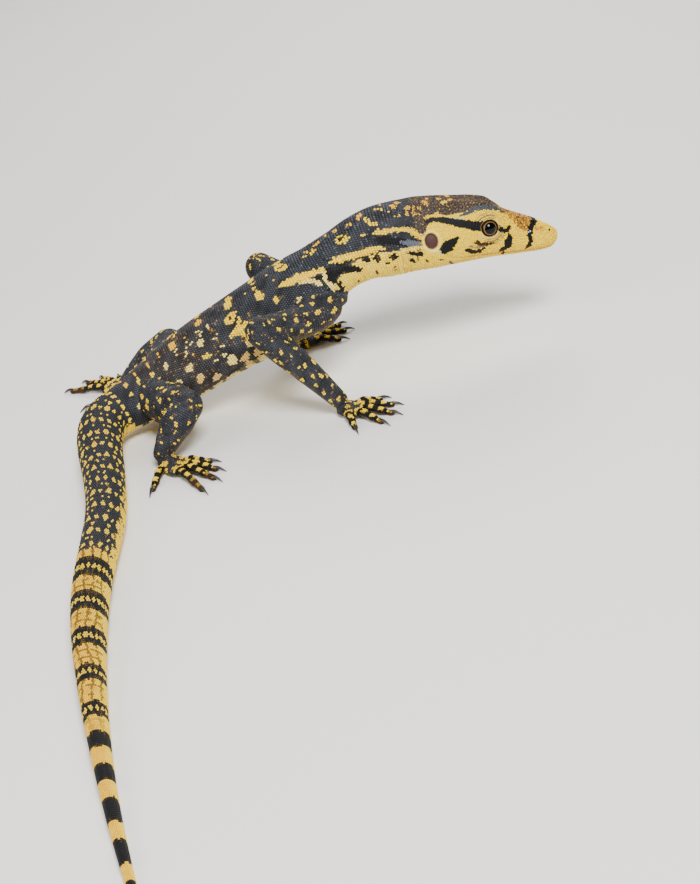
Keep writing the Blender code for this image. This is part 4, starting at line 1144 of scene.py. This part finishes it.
# Sizes in mm; long and wide are half a scale's size as a share of its row and of its place in the row
scalePlan = {
    "height": 0.11, "tailHeight": 1.15, "limbHeight": 0.10, "digitHeight": 0.09,
    "sink": 0.05, "shoulder": 0.70, "shoulderLift": 0.78, "rearLift": 0.16, "perPiece": 8000, "patch": 0.003,
    "trunkRow": 0.58, "trunkWidth": 0.52, "tailRow": 0.66, "tailWidth": 0.48,
    "limbRow": 0.50, "limbWidth": 0.42, "digitRow": 0.42, "digitWidth": 0.46,
    "long": 0.62, "bodyWide": 0.545, "limbWide": 0.54, "bodyReach": 0.155,
    "headEnd": 36.3, "rowsFrom": 36.4, "rowsEnd": 0.8, "tipSize": 0.68, "tipMore": 0.32,
    "headShare": 0.84, "headTries": 125000, "cell": 0.55,
    # rays onto the skin: how far outside they start, how long they are, and how squarely they have to meet it
    "bodyRays": (0.9, 1.75), "limbRays": (1.0, 2.1), "facing": -0.45,
    # scattered scales, as shares of their size: half length, half width, size of full height, reach
    "scattered": (1.2, 1.1, 0.22, 0.86),
    # what fills gaps: tries for each triangle of the skin, size
    "pawFill": (2.5, 0.18), "limbFill": (3.0, 0.19), "gapShare": 0.62,
    "pawAround": 17, "pawHigh": 4.0, "tailAround": 1.0,
}

mesh = skin.data
mesh.calc_loop_triangles()
triangles = np.empty(len(mesh.loop_triangles) * 3, np.int32)
mesh.loop_triangles.foreach_get("vertices", triangles)
triangles = triangles.reshape(-1, 3)
tree = BVHTree.FromPolygons(points.tolist(), triangles.tolist())

placed = {}
cellSize = scalePlan["cell"]


# Scales that are laid already are looked up by the cube of space that they are in
def cellOf(p):
    return int(p[0] // cellSize), int(p[1] // cellSize), int(p[2] // cellSize)


def isFree(p, reach):
    cx, cy, cz = cellOf(p)
    for i in (cx - 1, cx, cx + 1):
        for j in (cy - 1, cy, cy + 1):
            for k in (cz - 1, cz, cz + 1):
                for q in placed.get((i, j, k), ()):
                    dx, dy, dz = p[0] - q[0], p[1] - q[1], p[2] - q[2]
                    if dx * dx + dy * dy + dz * dz < (reach + q[3]) ** 2:
                        return False
    return True


def keep(p, reach):
    placed.setdefault(cellOf(p), []).append((p[0], p[1], p[2], reach))


# A ring of rays from outside onto the skin; gives the places that they reach
def castRing(starts, directions, rayLength):
    found = []
    for start, direction in zip(starts, directions):
        hit, normal, _, _ = tree.ray_cast(Vector(start), Vector(direction), rayLength)
        if hit is not None and normal.dot(Vector(direction)) < scalePlan["facing"]:
            found.append((np.array(hit), np.array(normal)))
    return found


scaleKeys = ("point", "normal", "lie", "long", "wide", "tall")


def newSet():
    return {key: [] for key in scaleKeys}


def addScale(scales, point, normal, lie, long, wide, tall, reach):
    if not isFree(point, reach):
        return
    keep(point, reach)
    for key, value in zip(scaleKeys, (point, normal, lie, long, wide, tall)):
        scales[key].append(value)


# Rings of scales round the body, each half a scale on from the last; on the tail they get smaller
def bodyRows(scales, first, last, row, width, tall):
    outside, rayLength = scalePlan["bodyRays"]
    at, odd = first, 0.0
    while at < last:
        shrink = 1.0
        if at > vent:
            shrink = scalePlan["tipSize"] + scalePlan["tipMore"] * (tailEnd - at) / bodyPlan["tailLength"]
        point, forward, left, up = frameAt(at)
        ring = roundPoints(sectionCorners([at]), np.arange(0, 8.02, 0.04))[0]
        lengths = lengthsAlong(ring)
        count = max(8, int(round(lengths[-1] / (width * shrink))))
        y, z = between((np.arange(count) + odd) * lengths[-1] / count, lengths, ring).T
        away = unit(np.outer(y, left) + np.outer(z, up))
        starts = point + np.outer(y, left) + np.outer(z, up) + away * outside
        long, wide = row * shrink * scalePlan["long"], width * shrink * scalePlan["bodyWide"]
        for hit, normal in castRing(starts, -away, rayLength):
            lie = unit(-forward + normal * (forward @ normal))
            addScale(scales, hit, normal, lie, long, wide, tall * shrink, scalePlan["bodyReach"] * shrink)
        at += row * shrink
        odd = 0.5 - odd


def tubeRows(scales, tube, row, width, tall, first=0.0, reach=0.15):
    outside, rayLength = scalePlan["limbRays"]
    lengths = tube["u"] - tube["u"][0]
    long, wide = row * scalePlan["long"], width * scalePlan["limbWide"]
    at, odd = first, 0.0
    while at < lengths[-1]:
        point, along, over, side = (between(at, lengths, tube[k]) for k in ("path", "along", "over", "side"))
        half = float(np.interp(at, lengths, tube["half"]))
        count = max(7, int(round(2 * math.pi * half / width)))
        turns = (np.arange(count) + odd) * 2 * math.pi / count
        away = np.outer(np.cos(turns), over) + np.outer(np.sin(turns), side)
        for hit, normal in castRing(point + away * (half + outside), -away, rayLength):
            lie = unit(along - normal * (along @ normal))
            addScale(scales, hit, normal, lie, long, wide, tall, reach)
        at += row
        odd = 0.5 - odd


# Places scattered over some triangles of the skin, no two nearer than their sizes allow
def scatter(scales, chosen, count, sizeAt, lieAt, tall, blocked=None):
    corner = points[triangles[chosen]]
    cross = np.cross(corner[:, 1] - corner[:, 0], corner[:, 2] - corner[:, 0])
    area = np.linalg.norm(cross, axis=1) / 2
    picks = rng.choice(len(chosen), count, p=area / area.sum())
    u, v = rng.uniform(0, 1, (2, count))
    flip = u + v > 1
    u, v = np.where(flip, 1 - u, u), np.where(flip, 1 - v, v)
    c = corner[picks]
    tries = c[:, 0] + (c[:, 1] - c[:, 0]) * u[:, None] + (c[:, 2] - c[:, 0]) * v[:, None]
    shares = np.stack([1 - u - v, u, v], 1)
    ups = unit((normals[triangles[chosen]][picks] * shares[..., None]).sum(1))
    sizes, lies = sizeAt(tries), lieAt(tries, ups)
    if blocked is not None:
        usable = ~blocked(tries)
        tries, ups, sizes, lies = (v[usable] for v in (tries, ups, sizes, lies))
    long, wide, fullSize, reach = scalePlan["scattered"]
    for p, n, size, lie in zip(tries, ups, sizes, lies):
        addScale(scales, p, n, lie, size * long, size * wide, tall * size / fullSize, size * reach)


# Sizes over the head: small on the cheek, larger on crown, snout and lips, small again round the eye
def headSizes(p):
    s, angle, _, _ = bodyCoords(p)
    a = np.abs(angle)
    size = np.full(len(p), 0.175)
    for here, value in ((s > 30, 0.20), ((a < 50) & (s > 15), 0.215), ((a < 70) & (s < 16), 0.26),
                        ((a >= 70) & (s < 16), 0.25), ((a > 108) & (s < 20), 0.25), (a > 135, 0.20)):
        size = np.where(here, value, size)
    for side in (1, -1):
        h, ahead, over = eyeCoords(p, side)
        r = np.hypot(ahead, over)
        size = np.where((h > 0) & (r < 3.5), 0.16 + 0.05 * ease((r - 2.0) / 1.5), size)
    return size * scalePlan["headShare"]


# No scale this near the mouth line, the middle of the eye or of the nostril, nor on the ear drum
headClear = {"mouth": 0.15, "eye": 2.02, "ear": 1.06, "nostril": 0.55}


def headBlocked(p):
    s, _, _, z = bodyCoords(p)
    shut = (np.abs(z - lipHeight(s)) < headClear["mouth"]) & (s < headRelief["mouthCorner"])
    for side in (1, -1):
        h, ahead, over = eyeCoords(p, side)
        shut |= (h > 0) & (lidRing(ahead, over) < headClear["eye"])
        shut |= earCoords(p, side) < headClear["ear"]
        shut |= np.linalg.norm(p - placeOnSkin(headRelief["nostril"], side), axis=1) < headClear["nostril"]
    return shut


def backwards(p, n):
    forward = bodyFrames(bodyCoords(p)[0])[1]
    return unit(-forward + n * (forward * n).sum(1)[:, None])


middles = points[triangles].mean(1)
middleS = bodyCoords(middles)[0]
headScales, trunkScales, tailScales, limbScales, pawScales = (newSet() for _ in range(5))
scatter(headScales, np.flatnonzero(middleS < scalePlan["headEnd"]), scalePlan["headTries"], headSizes,
        backwards, scalePlan["height"], headBlocked)
print("stage: head scales", len(headScales["point"]))
bodyRows(trunkScales, scalePlan["rowsFrom"], vent, scalePlan["trunkRow"], scalePlan["trunkWidth"],
         scalePlan["height"])
bodyRows(tailScales, vent, tailEnd - scalePlan["rowsEnd"], scalePlan["tailRow"], scalePlan["tailWidth"],
         scalePlan["height"] * scalePlan["tailHeight"])
print("stage: body scales", len(trunkScales["point"]), len(tailScales["point"]))
for name in limbPlan:
    for tube, _, _ in paws[name][5]:
        tubeRows(pawScales, tube, scalePlan["digitRow"], scalePlan["digitWidth"], scalePlan["digitHeight"],
                 first=1.6, reach=0.14)
    for tube in limbs[name]:
        tubeRows(limbScales, tube, scalePlan["limbRow"], scalePlan["limbWidth"], scalePlan["limbHeight"])
print("stage: limb scales", len(limbScales["point"]), len(pawScales["point"]))


# Scales that fill gaps point down the limb, or along the floor where the skin is level
def gapsLie(p, n):
    lie = np.tile([0.0, 0.0, -1.0], (len(p), 1)) + n * n[:, 2:3]
    lie = np.where(np.linalg.norm(lie, axis=1, keepdims=True) < 0.2, np.cross(n, [1.0, 0.0, 0.0]), lie)
    return unit(lie)


# what the rows missed, at the roots of limbs and on the paws, is filled
pawLow = np.zeros(len(middles), bool)
for paw in paws.values():
    aside = np.linalg.norm((middles - paw[0])[:, :2], axis=1)
    pawLow |= (aside < scalePlan["pawAround"]) & (middles[:, 2] < scalePlan["pawHigh"])
fromAxis = np.hypot(*bodyCoords(middles)[2:])
onTail = (middleS > vent) & (fromAxis < tailHalf(middleS - vent) + scalePlan["tailAround"])


def fillGaps(scales, chosen, fill, tall):
    perTriangle, size = fill
    reach = size * scalePlan["gapShare"]
    bare = np.array([k for k in np.flatnonzero(chosen) if isFree(middles[k], reach)])
    scatter(scales, bare, int(len(bare) * perTriangle), lambda p: np.full(len(p), size), gapsLie, tall)


fillGaps(pawScales, pawLow & ~onTail, scalePlan["pawFill"], scalePlan["digitHeight"])
fillGaps(limbScales, (middleS > 40) & ~onTail & ~pawLow, scalePlan["limbFill"], scalePlan["limbHeight"])
print("stage: paw scales", len(pawScales["point"]), len(limbScales["point"]))


# A scale is a low dome of 14 points: a point under it, a rim of 6, a shoulder of 6 and a top
def scaleFaces():
    faces = []
    for k in range(6):
        n = (k + 1) % 6
        faces += [(0, 1 + n, 1 + k), (1 + k, 1 + n, 7 + n), (1 + k, 7 + n, 7 + k), (7 + k, 7 + n, 13)]
    return np.array(faces)


scaleRim = np.stack([np.cos(np.radians(60 * np.arange(6))), np.sin(np.radians(60 * np.arange(6)))], 1)
# Colour of each point as a share of the scale's own, on dark scales and on pale ones: painted shade in the
# groove at the rim and under it, and a painted highlight on the top, strong on dark scales and faint on pale
# ones
darkShadeAndHighlight = np.repeat([0.3, 0.3, 1.1, 2.3], (1, 6, 6, 1))[None, :, None]
paleToneAndShading = np.repeat([0.35, 0.42, 1.0, 1.06], (1, 6, 6, 1))[None, :, None]


# Places on an unwrap of the skin: a strip for the body and for each limb and digit, along it and round it
def unwrap(along, around, owner):
    strips = np.unique(owner)
    centre = np.zeros((len(along), 2))
    for k, strip in enumerate(strips):
        here = owner == strip
        a, b = (v[here] - v[here].min() for v in (along, around))
        centre[here, 0] = a / max(a.max(), 1)
        centre[here, 1] = (k + 0.04 + 0.92 * b / max(b.max(), 1)) / len(strips)
    return centre * 0.98 + 0.01


def buildScales(name, scales, material):
    p, n, lie = (np.array(scales[key]) for key in ("point", "normal", "lie"))
    long, wide, tall = (np.array(scales[key])[:, None, None] for key in ("long", "wide", "tall"))
    jitter = rng.normal(0, 0.55, len(p)).clip(-1.2, 1.2)
    colour, along, around, owner = paintPlaces(p, n, jitter, 0.02)
    colour = colour * rng.uniform(0.86, 1.12, len(p))[:, None]
    across = np.cross(n, lie)
    x, y = scaleRim[None, :, :1], scaleRim[None, :, 1:]
    inner, sink, perPiece = scalePlan["shoulder"], scalePlan["sink"], scalePlan["perPiece"]
    local = np.concatenate([[[0, 0]], scaleRim, scaleRim * inner, [[0, 0]]]) * scalePlan["patch"] / 2
    order = np.lexsort((along, owner))
    for first in range(0, len(p), perPiece):
        part = order[first:first + perPiece]
        a, b, h = long[part], wide[part], tall[part]
        place, t, c, up = (v[part][:, None] for v in (p, lie, across, n))
        base = place + t * x * a + c * y * b - up * sink
        lift = h * (scalePlan["shoulderLift"] + scalePlan["rearLift"] * x)
        shoulder = place + t * (x * inner + 0.08) * a + c * y * inner * b + up * lift
        sunk = place - up * (sink + 0.03)
        top = place + t * 0.1 * a + up * h
        co = np.concatenate([sunk, base, shoulder, top], 1).reshape(-1, 3) + shift
        co[:, 2] = np.maximum(co[:, 2], 0.0)
        faces = (scaleFaces()[None] + (np.arange(len(part)) * 14)[:, None, None]).reshape(-1, 3)
        piece = meshObject(f"{name}_{first // perPiece + 1}", co * millimetre, faces)
        # each scale takes its own colour times these shares: painted shade at its rim and a painted highlight on
        # its top
        dark = (colour[part].mean(1) < darkBelow)[:, None, None]
        tone = np.where(dark, darkShadeAndHighlight, paleToneAndShading) * colour[part][:, None]
        storeColour(piece.data, tone.reshape(-1, 3).clip(0, 1))
        centre = unwrap(along[part], around[part], owner[part])
        uv = (centre[:, None] + local[None]).reshape(-1, 2)
        layer = piece.data.uv_layers.new(name="OFBake")
        layer.data.foreach_set("uv", uv[faces.ravel()].astype(np.float32).ravel())
        piece.data.materials.append(material)
        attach(piece, "root")
    print("stage: built", name, len(p), "scales")


# Materials

# A node with its settings and links; None in a link stands for the node itself
def addNode(graph, kind, settings=(), links=()):
    node = graph.nodes.new(kind)
    for key, value in dict(settings).items():
        if key in node.inputs:
            node.inputs[key].default_value = value
        else:
            setattr(node, key, value)
    for source, output, target, socket in links:
        graph.links.new((source or node).outputs[output], (target or node).inputs[socket])
    return node


finishes = {
    # dry keratin plates with a satin sheen; growth grain 0.08 mm
    "keratin scales, dry satin": {"rough": 0.45, "grain": 0.08, "bump": 0.12, "coat": 0.0, "gloss": 0.2},
    # thin skin between the scales, softly wrinkled every 0.2 mm
    "skin, fine wrinkled": {"rough": 0.55, "grain": 0.2, "bump": 0.25, "coat": 0.0, "gloss": 0.2},
    # iris under a wet cornea
    "eye, wet cornea": {"rough": 0.3, "grain": 0.1, "bump": 0.0, "coat": 1.0, "gloss": 0.02, "coatIor": 1.27},
    # horn of the claws, polished by wear; fibres 0.1 mm
    "claw horn, worn smooth": {"rough": 0.3, "grain": 0.1, "bump": 0.1, "coat": 0.2, "gloss": 0.5},
}


finishPlan = {"coatRough": 0.04, "coatIor": 1.5, "roughShares": (0.8, 1.25), "bumpDistance": 0.03, "detail": 3.0}


def makeMaterial(name):
    plan = finishes[name]
    material = bpy.data.materials.new(name)
    material.use_nodes = True
    graph = material.node_tree
    surface = graph.nodes["Principled BSDF"]
    surface.inputs["Coat Weight"].default_value = plan["coat"]
    surface.inputs["Coat Roughness"].default_value = finishPlan["coatRough"]
    surface.inputs["Coat IOR"].default_value = plan.get("coatIor", finishPlan["coatIor"])
    surface.inputs["Specular IOR Level"].default_value = plan["gloss"]
    addNode(graph, "ShaderNodeVertexColor", {"layer_name": "tone"}, [(None, "Color", surface, "Base Color")])
    place = addNode(graph, "ShaderNodeTexCoord")
    grainScale = 1 / (plan["grain"] * millimetre)
    grain = addNode(graph, "ShaderNodeTexNoise", {"Scale": grainScale, "Detail": finishPlan["detail"]},
                    [(place, "Object", None, "Vector")])
    smoother, rougher = (plan["rough"] * share for share in finishPlan["roughShares"])
    addNode(graph, "ShaderNodeMapRange", {"To Min": smoother, "To Max": rougher},
            [(grain, "Fac", None, "Value"), (None, "Result", surface, "Roughness")])
    if plan["bump"]:
        addNode(graph, "ShaderNodeBump",
                {"Strength": plan["bump"], "Distance": finishPlan["bumpDistance"] * millimetre},
                [(grain, "Fac", None, "Height"), (None, "Normal", surface, "Normal")])
    return material


materials = {name: makeMaterial(name) for name in finishes}

setCoords(skin.data, (coordsOf(skin.data) + shift) * millimetre)
skin.data.materials.append(materials["skin, fine wrinkled"])
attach(skin, "root")
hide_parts(*[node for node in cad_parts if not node.startswith("eye")])
coats = (("head_scales", headScales, "head_skin"), ("trunk_scales", trunkScales, "body_skin"),
         ("tail_scales", tailScales, "tail_skin"), ("limb_scales", limbScales, "limb_skin"),
         ("paw_scales", pawScales, "limb_skin"))
for name, scales, slotName in coats:
    buildScales(name, scales, materials["keratin scales, dry satin"])

# Eyes and claws

eyeLook = {"pupil": 1.33, "ring": 1.44, "iris": 1.66, "bulge": 0.18, "bulgeWide": 1.5,
           "sides": 64, "streaks": 0.18,
           "pupilTone": "#010101", "ringTone": "#86683C", "irisTone": "#2A1A12", "edgeTone": "#070504"}
clawPlan = {"marks": ((-0.9, 0.15), (0.5, 0.42), (1.6, 0.12), (2.3, -0.3), (2.7, -0.5)),
            "half": 0.46, "tip": 0.12, "sides": 12, "stations": 12, "thinner": 0.25,
            "horn": "#1C1614", "streak": "#54483C"}


# A ball with the cornea a little proud; pupil, ring and iris are told apart by the distance from its axis
def addEye(name, side):
    centre, out, ahead, over = eyeFrame(side)
    polar = np.radians(np.concatenate([np.arange(1.5, 62, 1.5), np.arange(64, 178, 6)]))
    sides = eyeLook["sides"]
    turns = evenTurns(sides)
    radius = eyePlan["radius"] - 0.02
    across, up = radius * np.sin(polar), radius * np.cos(polar)
    up = up + eyeLook["bulge"] * bell(across / eyeLook["bulgeWide"], 1.0) * (polar < 1.2)
    ring = ahead * np.cos(turns)[:, None] * -side + over * np.sin(turns)[:, None]
    rings = centre + ring[None] * across[:, None, None] + out * up[:, None, None]
    ends = [centre + out * (radius + eyeLook["bulge"]), centre - out * radius]
    co = np.vstack([rings.reshape(-1, 3), ends])
    eye = meshObject(name, (co + shift) * millimetre, ringFaces(len(polar), sides))
    distance = np.concatenate([np.repeat(np.where(polar < 1.6, across, 3.0), sides), [0, 3]])
    wave = np.concatenate([np.tile(np.sin(turns * 23) * 0.5 + np.sin(turns * 41 + 1), len(polar)), [0, 0]])
    tone = np.tile(linearColour(eyeLook["edgeTone"])[:3], (len(co), 1))
    for edge, key in (("iris", "irisTone"), ("ring", "ringTone"), ("pupil", "pupilTone")):
        weight = inside(distance - eyeLook[edge], 0.06)[:, None]
        streaks = eyeLook["streaks"] * wave[:, None] * (key != "pupilTone")
        colour = np.array(linearColour(eyeLook[key])[:3]) * (1 + streaks)
        tone = tone * (1 - weight) + colour * weight
    storeColour(eye.data, tone.clip(0, 1))
    eye.data.materials.append(materials["eye, wet cornea"])
    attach(eye, "root")
    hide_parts(name.replace("ball_", "eye_"))


# Claws that bend down from the tips of the digits, flatter from side to side than from top to bottom
def addClaws(name):
    solids, tone = [], []
    sides, stations = clawPlan["sides"], clawPlan["stations"]
    for _, heading, mark in paws[name][5]:
        path = curveThrough([mark + heading * x + np.array([0, 0, z]) for x, z in clawPlan["marks"]], stations)
        share = np.linspace(0, 1, stations)
        half = clawPlan["half"] * (1 - share) ** 0.8 + clawPlan["tip"] * (1 - share * 0.5)
        claw = makeTube(path, half)
        away = tubeRings(claw, sides) - path[:, None]
        sideways = (away @ claw["side"][0])[..., None] * clawPlan["thinner"]
        solids.append(withEnds(path[:, None] + away - claw["side"][:, None] * sideways))
        streak = bell(np.abs(np.cos(evenTurns(sides))) - 0.1, 0.35)[None] * (1 - share[:, None]) * 0.7
        horn, pale = (np.array(linearColour(clawPlan[key])[:3]) for key in ("horn", "streak"))
        ringTone = horn * (1 - streak[..., None]) + pale * streak[..., None]
        tone.append(np.vstack([ringTone.reshape(-1, 3), horn, horn]))
    claws = joinSolids(f"claws_{name}", solids)
    co = coordsOf(claws.data) + shift
    co[:, 2] = np.maximum(co[:, 2], 0.01)
    setCoords(claws.data, co * millimetre)
    claws.data.shade_smooth()
    storeColour(claws.data, np.vstack(tone))
    claws.data.materials.append(materials["claw horn, worn smooth"])
    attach(claws, "root")


addEye("ball_right", -1)
addEye("ball_left", 1)
for name in limbPlan:
    addClaws(name)
print("stage: eyes and claws")


# Floor, light and camera

cameraPlan = {"elevation": 28.0, "roll": 13.796, "distance": 420.0, "aim": (40.595, -11.315, -10.329),
              "focalPixels": 1864.31, "imageSize": (700, 884), "sensorHeight": 24.0}
floorPlan = {"size": 3.0, "colour": "#E9E7E2", "roughness": 0.6}
worldPlan = {"colour": "#F4F3F0", "strength": 0.24}
lightPlan = (
    # name, place in mm about the animal, size in mm, watts
    ("keyPanel", (120, -420, 620), 280, 10.4),
    ("fillPanel", (-520, -260, 380), 520, 2.6),
    ("rimPanel", (80, 520, 420), 420, 3.0),
)


def addFloor():
    bpy.ops.mesh.primitive_plane_add(size=floorPlan["size"], location=(0, 0, -0.00002))
    floor = bpy.context.active_object
    floor.name = "studio_floor"
    material = bpy.data.materials.new("matt studio paper")
    material.use_nodes = True
    surface = material.node_tree.nodes["Principled BSDF"]
    surface.inputs["Base Color"].default_value = linearColour(floorPlan["colour"])
    surface.inputs["Roughness"].default_value = floorPlan["roughness"]
    floor.data.materials.append(material)


def addLights():
    target = Vector((0.02, 0.04, 0.015))
    for name, place, size, watts in lightPlan:
        light = bpy.data.lights.new(name, "AREA")
        light.shape, light.size, light.energy = "DISK", size * millimetre, watts
        lamp = bpy.data.objects.new(name, light)
        lamp.location = Vector(place) * millimetre
        lamp.rotation_euler = (target - lamp.location).to_track_quat("-Z", "Y").to_euler()
        bpy.context.scene.collection.objects.link(lamp)
    world = bpy.data.worlds.new("studio")
    world.use_nodes = True
    world.node_tree.nodes["Background"].inputs["Color"].default_value = linearColour(worldPlan["colour"])
    world.node_tree.nodes["Background"].inputs["Strength"].default_value = worldPlan["strength"]
    bpy.context.scene.world = world


def addCamera():
    elevation, roll = math.radians(cameraPlan["elevation"]), math.radians(cameraPlan["roll"])
    back = Vector((0, -math.cos(elevation), math.sin(elevation)))
    levelUp = Vector((0, math.sin(elevation), math.cos(elevation)))
    levelRight = Vector((1, 0, 0))
    right = levelRight * math.cos(roll) - levelUp * math.sin(roll)
    up = levelUp * math.cos(roll) + levelRight * math.sin(roll)
    place = Vector(cameraPlan["aim"]) + Vector(shift) + back * cameraPlan["distance"]
    data = bpy.data.cameras.new("photo_camera")
    data.sensor_fit = "VERTICAL"
    data.sensor_height = cameraPlan["sensorHeight"]
    data.lens = cameraPlan["focalPixels"] * data.sensor_height / cameraPlan["imageSize"][1]
    data.clip_start = 0.01
    camera = bpy.data.objects.new("photo_camera", data)
    matrix = Matrix((right, up, back)).transposed().to_4x4()
    matrix.translation = place * millimetre
    camera.matrix_world = matrix
    bpy.context.scene.collection.objects.link(camera)
    bpy.context.scene.camera = camera


addFloor()
addLights()
addCamera()
print("stage: floor, light and camera")
